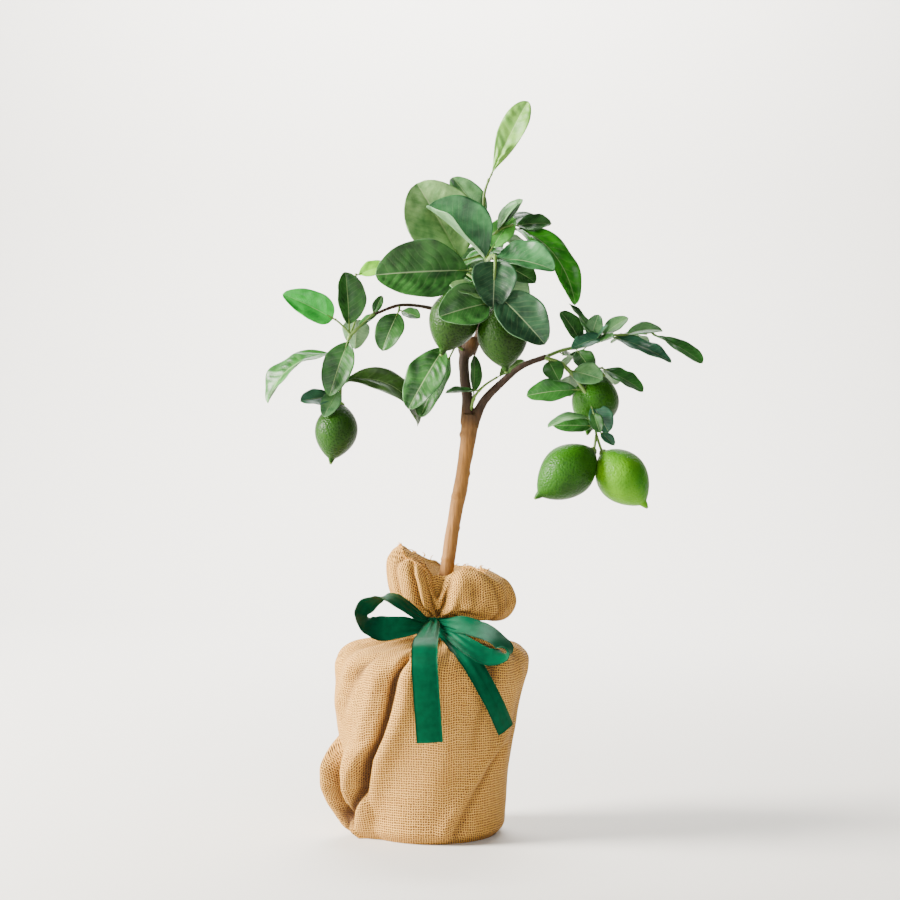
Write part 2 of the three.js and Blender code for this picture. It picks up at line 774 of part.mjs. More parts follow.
// Leaves by rule for the sides that the rows leave out: round each twig by the golden angle,
// a few tries at each place, kept only inside the mass's own space and clear of limbs and fruit.
function fillLeaves(mass, lines) {
  if (!mass.fill) return [];
  const { seed, every, long: longs, rise: rises, share: shares } = mass.fill;
  const random = seeded(seed);
  const space = new THREE.Box3(vector(mass.space[0]), vector(mass.space[1]));
  const leaves = [];
  for (const line of lines) {
    const count = Math.floor(line.getLength() / every);
    for (let i = 1; i <= count; i += 1) {
      const node = line.getPoint(i / count);
      for (let attempt = 0; attempt < FILL_TRIES; attempt += 1) {
        const heading = (GOLDEN_ANGLE * i + 360 * random()) % 360;
        const rise = THREE.MathUtils.lerp(rises[0], rises[1], random());
        const long = THREE.MathUtils.lerp(longs[0], longs[1], random());
        const wide = long * THREE.MathUtils.lerp(shares[0], shares[1], random());
        const roll = 50 * (random() - 0.5);
        const arch = 14 + 30 * random();
        const base = node.clone().addScaledVector(bearing(heading, rise), FILL_STALK);
        const shape = { widest: LEAF_WIDEST, fold: LEAF_FOLD };
        const leaf = { node, base, heading, rise, long, wide, arch, roll, ...shape };
        const outline = leafPoints(leaf).slice(1).flatMap((s) => [s.centre, s.left, s.right]);
        if (outline.every((place) => space.containsPoint(place) && clearOfAll(place))) {
          leaves.push(leaf);
          break;
        }
      }
    }
  }
  return leaves;
}

// The smooth lines of a mass's twigs; a twig starts at a place or at a share of an earlier twig.
function twigLines(mass) {
  const lines = [];
  for (const twig of mass.twigs) {
    const start = twig.from ? lines[twig.from[0]].getPoint(twig.from[1]).toArray() : twig.start;
    lines.push(lineThrough(twigPlaces(start, twig.legs)));
  }
  return lines;
}

function massSolid(mass) {
  const lines = twigLines(mass);
  const pieces = mass.twigs.map((twig, i) => {
    const places = lines[i].points.map((place) => place.toArray());
    return limb(places, twig.radii, TWIG_SIDES, twig.legs.length * 2);
  });
  const leaves = mass.twigs.flatMap((twig, i) => (
    (twig.leaves ?? []).map((row) => {
      const [at, stalk, heading, rise, long, wide, arch, roll, widest = LEAF_WIDEST, fold = LEAF_FOLD] = row;
      const node = lines[i].getPoint(Math.min(at, 0.98));
      const base = node.clone().addScaledVector(bearing(heading, rise), stalk);
      return { node, base, heading, rise, long, wide, arch, roll, widest, fold };
    })
  ));
  leaves.push(...fillLeaves(mass, lines));
  for (const leaf of leaves) {
    const seat = leafPoints(leaf)[1].centre.clone().lerp(leaf.base, 0.4);
    pieces.push(leafSolid(leaf));
    pieces.push(limb([leaf.node.toArray(), leaf.base.toArray(), seat.toArray()], STALK_RADII, 3, 2));
  }
  for (const fruit of mass.fruit ?? []) {
    const axis = bearing(fruit.heading, fruit.rise);
    const stem = lines[0].points[fruit.at].toArray();
    const sunk = vector(fruit.top).addScaledVector(axis, 6);
    pieces.push(fruitSolid(fruit));
    pieces.push(limb([stem, fruit.top, sunk.toArray()], [1.5, 1.5, 1.6], TWIG_SIDES, 4));
  }
  const fused = LIMB_SKINS.reduce((solid, skin) => solid.subtract(skin), wasm.Manifold.union(pieces));
  return largest(fused).simplify(0.05);
}

function mesh(name, solid, colour, roughness) {
  const { vertProperties, triVerts } = solid.getMesh();
  const geometry = new THREE.BufferGeometry();
  geometry.setAttribute("position", new THREE.BufferAttribute(vertProperties, 3));
  geometry.setIndex(new THREE.BufferAttribute(triVerts, 1));
  geometry.computeVertexNormals();
  const material = new THREE.MeshStandardMaterial({ color: colour, roughness, metalness: 0 });
  const piece = new THREE.Mesh(geometry, material);
  piece.name = name;
  return piece;
}

const tree = new THREE.Group();
tree.name = "lime_sapling";
tree.add(mesh("root_ball_sack", rootBallSack(), 0xd0a469, 0.95));
tree.add(mesh("sack_ruff", sackRuff(), 0xd4aa72, 0.95));
tree.add(mesh("ribbon_band", ribbonBand(), 0x17604a, 0.35));
tree.add(mesh("ribbon_knot", ribbonKnot(), 0x17604a, 0.35));
tree.add(mesh("ribbon_loop_left", tiedStrip(RIBBON_LOOP_LEFT, 16), 0x17604a, 0.35));
tree.add(mesh("ribbon_loop_right", tiedStrip(RIBBON_LOOP_RIGHT, 18), 0x17604a, 0.35));
tree.add(mesh("ribbon_tail_front", tiedStrip(RIBBON_TAIL_FRONT, 12), 0x1d7257, 0.35));
tree.add(mesh("ribbon_tail_right", tiedStrip(RIBBON_TAIL_RIGHT, 12), 0x1d7257, 0.35));
tree.add(mesh("trunk", trunk, 0xb98a55, 0.8));
tree.add(mesh("bough_leader", leader, 0x9a7048, 0.8));
tree.add(mesh("bough_crown", crownBough, 0x5a4331, 0.8));
tree.add(mesh("bough_right", rightBough, 0x6a5138, 0.8));
tree.add(mesh("bough_left", leftBough, 0x5d4c33, 0.8));
for (const mass of MASSES) {
  tree.add(mesh(mass.name, massSolid(mass), mass.colour, 0.45));
}

export default tree;
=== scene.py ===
import math

import bpy
import numpy as np
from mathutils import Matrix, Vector, noise


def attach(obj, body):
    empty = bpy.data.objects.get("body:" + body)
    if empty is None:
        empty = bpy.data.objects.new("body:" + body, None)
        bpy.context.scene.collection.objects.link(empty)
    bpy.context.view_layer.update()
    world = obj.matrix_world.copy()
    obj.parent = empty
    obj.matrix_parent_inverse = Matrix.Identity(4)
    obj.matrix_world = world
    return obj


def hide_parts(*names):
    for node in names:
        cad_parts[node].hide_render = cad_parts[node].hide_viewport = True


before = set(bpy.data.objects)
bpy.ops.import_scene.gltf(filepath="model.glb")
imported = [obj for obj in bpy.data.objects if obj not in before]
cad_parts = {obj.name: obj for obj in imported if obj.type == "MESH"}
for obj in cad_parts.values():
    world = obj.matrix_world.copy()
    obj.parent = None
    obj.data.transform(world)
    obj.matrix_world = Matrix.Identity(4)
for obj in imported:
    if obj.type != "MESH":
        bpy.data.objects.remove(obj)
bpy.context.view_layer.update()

MM = 0.001

# Driving sizes of the root ball in its sack.
FOOT_RADIUS = 70
SHOULDER_RADIUS = 92
SHOULDER_HEIGHT = 158
NECK_X = 5
NECK_RADIUS = 22
NECK_HEIGHT = 208

SACK_PROFILE = [
    (FOOT_RADIUS - 9, 0),
    (FOOT_RADIUS - 1, 9),
    (FOOT_RADIUS, 24),
    (FOOT_RADIUS + 2, 48),
    (FOOT_RADIUS + 4, 68),
    (FOOT_RADIUS + 6, 84),
    (FOOT_RADIUS + 8, 98),
    (SHOULDER_RADIUS - 11, SHOULDER_HEIGHT - 40),
    (SHOULDER_RADIUS - 4, SHOULDER_HEIGHT - 16),
    (SHOULDER_RADIUS, SHOULDER_HEIGHT),
    (SHOULDER_RADIUS - 2, SHOULDER_HEIGHT + 12),
    (SHOULDER_RADIUS - 12, SHOULDER_HEIGHT + 20),
    (SHOULDER_RADIUS - 30, SHOULDER_HEIGHT + 24),
    (NECK_RADIUS + 22, NECK_HEIGHT - 23),
    (NECK_RADIUS + 9, NECK_HEIGHT - 21),
    (NECK_RADIUS, NECK_HEIGHT - 18),
    (NECK_RADIUS, NECK_HEIGHT),
]

# The loose fold of cloth at the lower left: height, bearing and how far it stands out.
FLAP_STATIONS = [
    (0, 205, 18),
    (9, 202, 24),
    (20, 198, 28),
    (32, 196, 34),
    (48, 198, 40),
    (68, 198, 38),
    (84, 193, 25),
    (98, 187, 8),
    (128, 183, 0),
]
SLACK_BEARING = 188
SLACK_WIDTH = 40
SLACK_OUT = 13

# The collar of cloth above the tie: bearing, radius and height of its belly, radius and
# height of its crest, and the height of its underside.
RUFF_STATIONS = [
    (0, 75, 222, 48, 249, 203),
    (25, 68, 224, 46, 252, 206),
    (60, 52, 228, 40, 254, 214),
    (100, 44, 232, 36, 258, 217),
    (140, 44, 240, 34, 267, 221),
    (172, 46, 246, 35, 275, 224),
    (200, 46, 240, 33, 268, 221),
    (225, 38, 228, 27, 257, 215),
    (244, 30, 221, 20, 250, 212),
    (260, 24.5, 216, 17.5, 234, 210),
    (271, 23.5, 215, 17, 226, 210),
    (284, 26, 218, 18, 236, 211),
    (300, 37, 222, 25, 248, 211),
    (325, 56, 220, 40, 253, 205),
    (345, 72, 217, 47, 249, 201),
]
RUFF_HOLE = 12.5

# The satin ribbon: each station is x, y, z, heading and rise of its width, and its width.
RIBBON_WIDTH = 24
RIBBON_THICKNESS = 0.5
BAND_HEIGHT = 16
BAND_MIDDLE = 199
KNOT_CENTRE = (1, -30, 199)
KNOT_SIZE = (8, 6, 9)
RIBBON_LOOP_LEFT = [
    (-3, -31, 204, 262, -26, 8),
    (-17, -37, 214.5, 262, -32, 17),
    (-30, -41, 224, 262, -28, 22),
    (-41, -41, 228.6, 260, -14, RIBBON_WIDTH),
    (-51, -40, 226, 246, 16, RIBBON_WIDTH),
    (-61, -39, 220, 233, 26, RIBBON_WIDTH),
    (-66.5, -39, 213, 240, 14, RIBBON_WIDTH),
    (-65, -40, 206, 250, -14, RIBBON_WIDTH),
    (-58, -41, 201, 260, -42, RIBBON_WIDTH),
    (-45, -41, 198.5, 265, -74, RIBBON_WIDTH),
    (-24, -38, 200, 266, -84, 19),
    (-3, -31, 199, 268, -76, 7),
]
RIBBON_LOOP_RIGHT = [
    (5, -31, 203, 278, -26, 7),
    (23, -50, 204, 270, -42, 19),
    (42, -65, 201, 268, -28, RIBBON_WIDTH),
    (57, -77, 195, 262, -24, RIBBON_WIDTH),
    (68, -83, 186, 250, -22, RIBBON_WIDTH),
    (67, -86, 179, 254, -28, RIBBON_WIDTH),
    (53, -86, 176.5, 262, -34, RIBBON_WIDTH),
    (36, -76, 184, 268, -34, 20),
    (20, -58, 193.5, 268, -40, 13),
    (5, -33, 199, 268, -50, 6),
]
RIBBON_TAIL_FRONT = [
    (1, -30, 206, 0, 0, 9),
    (1, -42, 204, 0, 0, 13),
    (-2, -58, 197, 0, 0, 19),
    (-5, -74, 191, 0, 0, 23),
    (-6, -87, 183, 0, 0, RIBBON_WIDTH),
    (-6, -95, 171, 0, 0, RIBBON_WIDTH),
    (-5, -97, 155, 0, 0, RIBBON_WIDTH),
    (-3, -94.5, 127, 0, 0, RIBBON_WIDTH),
    (-1, -90, 99, 0, 0, RIBBON_WIDTH),
]
RIBBON_TAIL_RIGHT = [
    (4, -31, 194, 20, 0, 6),
    (13, -47, 190, 14, 0, 11),
    (24, -68, 184, 15, 5, 17),
    (36, -85, 173, 20, 14, 19),
    (47, -88, 155, 26, 18, 19),
    (59, -83, 132, 31, 19, 19),
    (69, -72.5, 108, 35, 12, 19),
]

# Limbs, from foot to tip, each station as x, y, z and radius.
TRUNK_STATIONS = [
    (7, -2, NECK_HEIGHT - 8, 7.9),
    (14.5, -3, 252, 6.7),
    (22, -3, 303, 6.5),
    (27, -2, 328, 6.9),
    (31, -1, 354, 6.5),
    (35, 0, 379, 7.6),
    (37, 0, 400, 8.8),
]
LEADER_STATIONS = [
    (33.5, 0, 395, 6.2),
    (34, 0, 414, 5.5),
    (31, 0.5, 439, 4.8),
    (31, 1, 455, 5.2),
    (36, 1, 464, 7.6),
    (38, 0, 475, 6),
]
CROWN_BOUGH_STATIONS = [
    (38, 2, 462, 4.2),
    (49, 5, 490, 3.7),
    (53, 0, 518, 3.1),
    (53, -6, 543, 2.6),
]
RIGHT_BOUGH_STATIONS = [
    (40, -1, 395, 5),
    (48, -3, 410, 4.5),
    (64, -8, 428, 3.6),
    (86, -12, 446, 2.9),
    (109, -14, 455, 2.5),
]
LEFT_BOUGH_STATIONS = [
    (31, 1, 450, 2.6),
    (23, 6, 478, 2.3),
    (10, 5, 497, 2.1),
    (-5, 0, 503, 1.9),
    (-31, -6, 504.5, 1.7),
    (-56, -12, 495, 1.6),
]
LIMBS = [
    TRUNK_STATIONS, LEADER_STATIONS, CROWN_BOUGH_STATIONS, RIGHT_BOUGH_STATIONS, LEFT_BOUGH_STATIONS,
]

# Leaves, twigs and fruit.
LEAF_FOLD = 14
LEAF_WIDEST = 0.48
LONG_LEAF = 56
GOLDEN_ANGLE = 137.5
FILL_TRIES = 5
FILL_STALK = 8
LIMB_MARGIN = 2

# Each mass: twigs, then fruit, then the space and rule for the leaves on its hidden sides.
# A twig starts at a place or at a share of an earlier twig; its legs hold heading, rise
# and length. A leaf row holds its colour, share along the twig, stalk, heading, rise, length,
# width, arch and roll, then the share where it is widest and its fold where they differ. A fruit
# row holds its rind, the place of its top, heading, rise, length and width, and the number of the
# bend in the first twig that it hangs from.
FRUIT_FIELDS = ("rind", "top", "heading", "rise", "long", "wide", "at")
MASSES = [
    {
        "node": "foliage_crown_top",
        "spray": "crown",
        "twigs": [
            {
                "start": (53, -5.7, 542),
                "legs": [(95, 62, 38), (235, 86, 34), (337, 74, 19)],
                "radii": (2.4, 1.1),
                "leaves": [
                    ("young", 0.96, 5, 350, 63, 80, 28, 14, 78, 0.66),
                    ("grey", 0.42, 4, 150, 53, 56, 32, 20, 40),
                    ("dark", 0.5, 4, 120, 20, 58, 34, 35, 20),
                    ("dark", 0.3, 4, 60, -5, 62, 36, 40, 15),
                    ("fresh", 0.1, 10, 20, 55, 38, 27, 18, 50),
                ],
            },
            {
                "from": (0, 0.24),
                "legs": [(340, 40, 18), (351, 20, 14)],
                "radii": (1.5, 1.1),
                "leaves": [
                    ("vivid", 1, 5, 336, -51, 106, 36, 84, 28),
                    ("dark", 0.9, 6, 352, 2, 34, 23, 20, 50),
                    ("grey", 0.4, 10, 345, 50, 30, 21, 20, 50),
                    ("grey", 0.34, 4, 325, 46, 34, 25, 25, 50),
                    ("mid", 0.6, 4, 40, 20, 44, 24, 30, 20),
                ],
            },
            {
                "from": (0, 0.13),
                "legs": [(190, -18, 26)],
                "radii": (1.4, 1.1),
                "leaves": [("pale", 1, 3, 175, 60, 84, 72, 18, 72)],
            },
        ],
    },
    {
        "node": "foliage_crown_left",
        "spray": "crown",
        "twigs": [
            {
                "start": (52, -3, 524),
                "legs": [(250, 20, 20), (226, 22, 14)],
                "radii": (2, 1.5),
                "leaves": [("dark", 1, 3, 192, -4, 89, 62, 22, 82, 0.5, 26)],
            },
        ],
        "fruit": [("dark", (31, -44, 517), 195, -70, 67, 47, 1)],
    },
    {
        "node": "foliage_crown_front",
        "spray": "crown",
        "twigs": [
            {
                "start": (53, -6, 537.5),
                "legs": [(274, 28, 20), (280, -6, 30), (250, -78, 44)],
                "radii": (2, 1.3),
                "leaves": [
                    ("sheen", 0.28, 4, 172, 41, 75, 72, 16, 32, 0.5, 40),
                    ("sheen", 0.36, 6, 337, -12, 62, 42, 40, 44, 0.48, 30),
                    ("dark", 0.42, 12, 348, -30, 38, 28, 20, 50),
                    ("slate", 0.62, 5, 264, -70, 48, 45, 20, 6, 0.4, 22),
                    ("pale", 0.96, 5, 195, 16, 38, 22, 20, 45),
                    ("dark", 1, 5, 200, -16, 50, 46, 24, 70, 0.45, 26),
                    ("slate", 0.9, 8, 334, -45, 66, 47, 22, 56, 0.48, 20),
                ],
            },
        ],
        "fruit": [("dark", (64, -42, 503), 330, -84, 65, 48, 3)],
    },
    {
        "node": "foliage_crown_back",
        "spray": "crown",
        "twigs": [
            {"start": (51, 5.5, 508), "legs": [(85, 35, 32), (80, 50, 32)], "radii": (2.2, 1.2)},
            {"from": (0, 0.5), "legs": [(25, 30, 28), (350, 20, 20)], "radii": (1.4, 1)},
            {"from": (0, 0.5), "legs": [(155, 30, 30), (180, 20, 20)], "radii": (1.4, 1)},
            {"from": (0, 0.9), "legs": [(95, 60, 26), (80, 74, 22)], "radii": (1.3, 1)},
        ],
        "space": ((4, 12, 482), (100, 128, 614)),
        "fill": {"seed": 31, "every": 16, "long": (52, 76), "rise": (-60, 20), "share": (0.5, 0.62)},
    },
    {
        "node": "foliage_left",
        "spray": "left",
        "twigs": [
            {
                "start": (-54.8, -11.6, 495.6),
                "legs": [(191, -42, 30), (158, -68, 14), (158, -74, 20), (250, -84, 28)],
                "radii": (1.5, 1.1),
                "leaves": [
                    ("dark", 0.02, 3, 40, 60, 20, 10, 10, 40),
                    ("dark", 0.2, 4, 15, 38, 27, 12, 20, 30),
                    ("dark", 0.28, 12, 183, 86, 50, 36, 14, 60, 0.48, 30),
                    ("dark", 0.3, 4, 225, -66, 57, 31, 18, 34),
                    ("mid", 0.5, 10, 186, -35, 90, 38, 90, 24, 0.6),
                    ("olive", 0.84, 4, 17, -30, 104, 34, 124, 48, 0.52),
                    ("teal", 0.99, 8, 203, -8, 32, 22, 15, 45),
                    ("grey", 0.9, 6, 236, -50, 33, 19, 20, 30),
                ],
            },
            {
                "from": (0, 0.25),
                "legs": [(190, 46, 13), (193, 40, 8)],
                "radii": (1.1, 0.9),
                "leaves": [("mint", 1, 3, 192, 25, 53, 34, 16, 66, 0.36)],
            },
            {
                "from": (0, 0.3),
                "legs": [(60, 62, 26), (95, 84, 40)],
                "radii": (1.1, 0.9),
                "leaves": [("spring", 1, 3, 9, 18, 30, 19, 15, 55)],
            },
        ],
        "fruit": [("mid", (-87, -14, 410), 205, -80, 58, 41, 3)],
        "space": ((-112, 0, 405), (-56, 56, 508)),
        "fill": {"seed": 17, "every": 16, "long": (36, 52), "rise": (-66, 20), "share": (0.5, 0.6)},
    },
    {
        "node": "foliage_left_inner",
        "spray": "left",
        "twigs": [
            {
                "start": (-31, -7.9, 502.9),
                "legs": [(262, -50, 5)],
                "radii": (1.2, 1),
                "leaves": [
                    ("dark", 1, 3, 222, -62, 42, 28, 34, 40),
                    ("dark", 0.8, 3, 330, -20, 22, 15, 15, 40),
                ],
            },
        ],
    },
    {
        "node": "foliage_low_left",
        "spray": "left",
        "twigs": [
            {
                "start": (31, 0, 461),
                "legs": [(229, 21, 17), (212, 13, 12)],
                "radii": (1.5, 1.1),
                "leaves": [
                    ("dark", 0.8, 7, 209, -57, 70, 38, 16, 46),
                    ("dark", 0.4, 13, 186, -64, 64, 34, 16, 44),
                ],
            },
        ],
    },
    {
        "node": "foliage_fork",
        "spray": "right",
        "twigs": [
            {
                "start": (37, -3, 404),
                "legs": [(300, 58, 16), (348, 47, 14), (10, 33, 14)],
                "radii": (1.6, 1),
                "leaves": [
                    ("dark", 0.5, 5, 201, -5, 30, 15, 20, 25),
                    ("dark", 0.25, 7, 80, 82, 36, 18, 10, 60),
                    ("olive", 1, 4, 20, 30, 30, 16, 20, 30),
                ],
            },
        ],
    },
    {
        "node": "foliage_right_upper",
        "spray": "right",
        "twigs": [
            {
                "start": (107.5, -13.9, 454.5),
                "legs": [(25, 20, 22), (6, 11, 22), (0, 29, 18), (355, 4, 23), (355, 6, 25)],
                "radii": (1.9, 0.9),
                "leaves": [
                    ("grey", 0.55, 6, 355, 34, 29, 19, 20, 50),
                    ("teal", 0.66, 4, 211, -18, 42, 21, 22, 32),
                    ("dark", 0.42, 12, 309, 9, 24, 19, 15, 34),
                    ("teal", 0.66, 5, 341, -24, 62, 22, 26, 34),
                    ("grey", 0.77, 4, 4, 6, 36, 19, 50, 40),
                    ("mid", 1, 3, 345, -31, 56, 22, 18, 34, 0.68),
                    ("dark", 0.3, 5, 303, -42, 31, 21, 20, 35),
                ],
            },
            {
                "from": (0, 0.36),
                "legs": [(345, 24, 9), (340, 10, 6)],
                "radii": (1.1, 0.9),
                "leaves": [
                    ("dark", 0.1, 4, 193, 54, 36, 26, 18, 56),
                    ("dark", 1, 3, 153, 53, 44, 14, 20, 15),
                    ("grey", 0.4, 4, 27, 69, 26, 17, 15, 56),
                    ("teal", 0.9, 3, 318, 45, 18, 12, 10, 40),
                ],
            },
        ],
        "space": ((116, -2, 438), (222, 54, 494)),
        "fill": {"seed": 43, "every": 14, "long": (34, 50), "rise": (-40, 35), "share": (0.46, 0.56)},
    },
    {
        "node": "foliage_right_lower",
        "spray": "right",
        "twigs": [
            {
                "start": (108.6, -16.8, 453.6),
                "legs": [(325, -20, 20), (336, -49, 31), (338, -65, 24), (311, -80, 22)],
                "radii": (1.9, 1.2),
                "leaves": [
                    ("grey", 0.31, 6, 330, -16, 32, 25, 15, 58),
                    ("mid", 0.5, 5, 189, -7, 50, 26, 22, 54, 0.55),
                    ("teal", 0.58, 10, 336, -58, 30, 24, 18, 54),
                    ("grey", 0.8, 6, 200, -12, 44, 18, 46, 20),
                    ("mid", 0.9, 4, 183, 0, 36, 21, 16, 54),
                    ("dark", 0.64, 12, 296, -58, 22, 14, 12, 30),
                    ("teal", 0.92, 7, 333, -41, 18, 12, 10, 40),
                    ("dark", 0.02, 4, 296, -44, 28, 21, 15, 34),
                    ("dark", 0.24, 4, 150, -69, 32, 22, 15, 44),
                ],
            },
            {
                "from": (0, 0.34),
                "legs": [(22, 8, 34)],
                "radii": (1.1, 0.9),
                "leaves": [("mid", 1, 3, 347, -30, 43, 24, 20, 34)],
            },
        ],
        "fruit": [
            ("turning", (161, -22, 437), 160, -76, 58, 45, 2),
            ("turning", (152, -44, 366), 186, -39, 72, 49, 4),
            ("ripe", (160, -41, 364), 352, -51, 67, 48, 4),
        ],
        "space": ((116, -18, 368), (186, 42, 452)),
        "fill": {"seed": 71, "every": 14, "long": (30, 46), "rise": (-60, 20), "share": (0.5, 0.6)},
    },
]


# Numbers and lines

def seeded(seed):
    """The same run of numbers from 0 to 1 for the same seed."""
    state = seed
    while True:
        state = (state * 48271) % 2147483647
        yield state / 2147483647


def unit(vector):
    """The vector's direction, at length 1."""
    return vector / np.linalg.norm(vector)


def bearing(heading, rise):
    """A unit vector: heading 0 is to the right, 90 to the back; rise is above the level."""
    turn, tilt = math.radians(heading), math.radians(rise)
    return np.array([math.cos(tilt) * math.cos(turn), math.cos(tilt) * math.sin(turn), math.sin(tilt)])


def line_point(places, share):
    """A place on the smooth line through places, at a share of it from 0 to 1."""
    places = np.asarray(places, float)
    last = len(places) - 1
    at = min(max(share, 0.0), 1.0) * last
    i = min(int(at), last - 1)
    w = at - i
    before = places[i - 1] if i > 0 else 2 * places[0] - places[1]
    after = places[i + 2] if i + 2 <= last else 2 * places[last] - places[last - 1]
    start, end = places[i], places[i + 1]
    pull_start, pull_end = 0.5 * (end - before), 0.5 * (after - start)
    return (
        start + pull_start * w
        + (3 * (end - start) - 2 * pull_start - pull_end) * w ** 2
        + (2 * (start - end) + pull_start + pull_end) * w ** 3
    )


def line_direction(places, share):
    """The way that a smooth line runs at a share of it."""
    step = 0.0001
    return unit(line_point(places, share + step) - line_point(places, share - step))


def line_length(places):
    """The length of a smooth line, from 200 short steps."""
    marks = np.array([line_point(places, i / 200) for i in range(201)])
    return float(np.linalg.norm(np.diff(marks, axis=0), axis=1).sum())


def between(stations, at, column):
    """A value read between the stations of a table whose first column rises."""
    table = np.array([[row[0], row[column]] for row in stations], float)
    return np.interp(at, table[:, 0], table[:, 1])


def smooth_between(stations, at, column):
    """The same, rounded by easing between neighbouring stations."""
    spread = (stations[-1][0] - stations[0][0]) / (len(stations) * 2.2)
    values = [between(stations, np.asarray(at) + spread * k / 3, column) for k in range(-3, 4)]
    return np.average(values, axis=0, weights=[1, 3, 5, 6, 5, 3, 1])


def smoothstep(value, low, high):
    """Eases from 0 at the low value to 1 at the high one."""
    share = np.clip((np.asarray(value, float) - low) / (high - low), 0, 1)
    return share * share * (3 - 2 * share)


def turn_apart(one, two):
    """The turn from one bearing to another the short way round, in degrees."""
    return (one - two + 180) % 360 - 180


# Colours and materials

# How far apart the parts of each pattern lie. The leaf's grain and the rind's pits are drawn twice
# as coarse as real ones and the ribbon's ribs three times, so that they show at this distance.
LEAF_PATCH = 12.5
LEAF_GRAIN = 0.8
TWIG_BLOTCH = 8.33
BARK_CRACK = 1.54
BARK_BLOTCH = 14.3
RIND_DRIFT = 18.2
RIND_PIT = 2.2
SACK_STAIN = 40
THREAD_SPACING = 2.35
RIBBON_RIB = 0.8

# Each leaf colour: where its patches are light, where they are deep, and its roughness.
LEAF_COLOURS = {
    "dark": ("#336829", "#123511", 0.40),
    "mid": ("#2f6e26", "#194416", 0.40),
    "sheen": ("#44864c", "#1e4c26", 0.38),
    "slate": ("#2d5434", "#132e1b", 0.38),
    "teal": ("#34664a", "#173f28", 0.40),
    "grey": ("#5a8850", "#2b5830", 0.46),
    "pale": ("#83ab66", "#3d6a33", 0.5),
    "young": ("#6e9e3e", "#4b7d2b", 0.45),
    "spring": ("#80c82c", "#62ac20", 0.42),
    "fresh": ("#5cab42", "#37802c", 0.45),
    "mint": ("#44cc4c", "#24982f", 0.36),
    "vivid": ("#2f8014", "#165208", 0.34),
    "olive": ("#3a5c20", "#1f380c", 0.43),
    "underside": ("#628a5c", "#436844", 0.6),
}
# How strongly side veins show above the leaf and below it.
UPPER_VEINS = 0.07
LOWER_VEINS = 0.16
# Old bark, then young: in its cracks, between them, in its blotches, and how strong those are.
BARK_COLOURS = [
    ("#50320c", "#aa7630", "#774d1a", 0.6),
    ("#120a05", "#442811", "#20190c", 0.5),
]
# Each rind colour: where it is deep, and where it is light, in ripening patches and in the painted light on
# the side towards the key lamp.
RIND_COLOURS = {
    "dark": ("#071c03", "#133a06"),
    "mid": ("#072002", "#174706"),
    "turning": ("#0b3003", "#286806"),
    "ripe": ("#1d5c04", "#78ba0e"),
}


def srgb(code):
    """A colour from its sRGB hex code, as linear red, green, blue and 1."""
    parts = [int(code[i:i + 2], 16) / 255 for i in (1, 3, 5)]
    return [p / 12.92 if p <= 0.04045 else ((p + 0.055) / 1.055) ** 2.4 for p in parts] + [1.0]


def fineness(spacing):
    """The scale of a texture whose parts lie this many mm apart."""
    return 1 / (spacing * MM)


def add_node(tree, kind, links=None, **settings):
    """Adds a shader node with its own settings and what each socket takes, by name or number.

    A socket takes a value, another node's output, or a node, which stands for its first output in use.
    """
    node = tree.nodes.new("ShaderNode" + kind)
    for name, value in settings.items():
        setattr(node, name, value)
    for socket, value in (links or {}).items():
        if isinstance(value, bpy.types.Node):
            value = next(output for output in value.outputs if output.enabled)
        if isinstance(value, bpy.types.NodeSocket):
            tree.links.new(value, node.inputs[socket])
        else:
            node.inputs[socket].default_value = value
    return node


def start_material(name):
    """A named material with an empty tree of nodes."""
    material = bpy.data.materials.new(name)
    material.use_nodes = True
    material.node_tree.nodes.clear()
    return material, material.node_tree


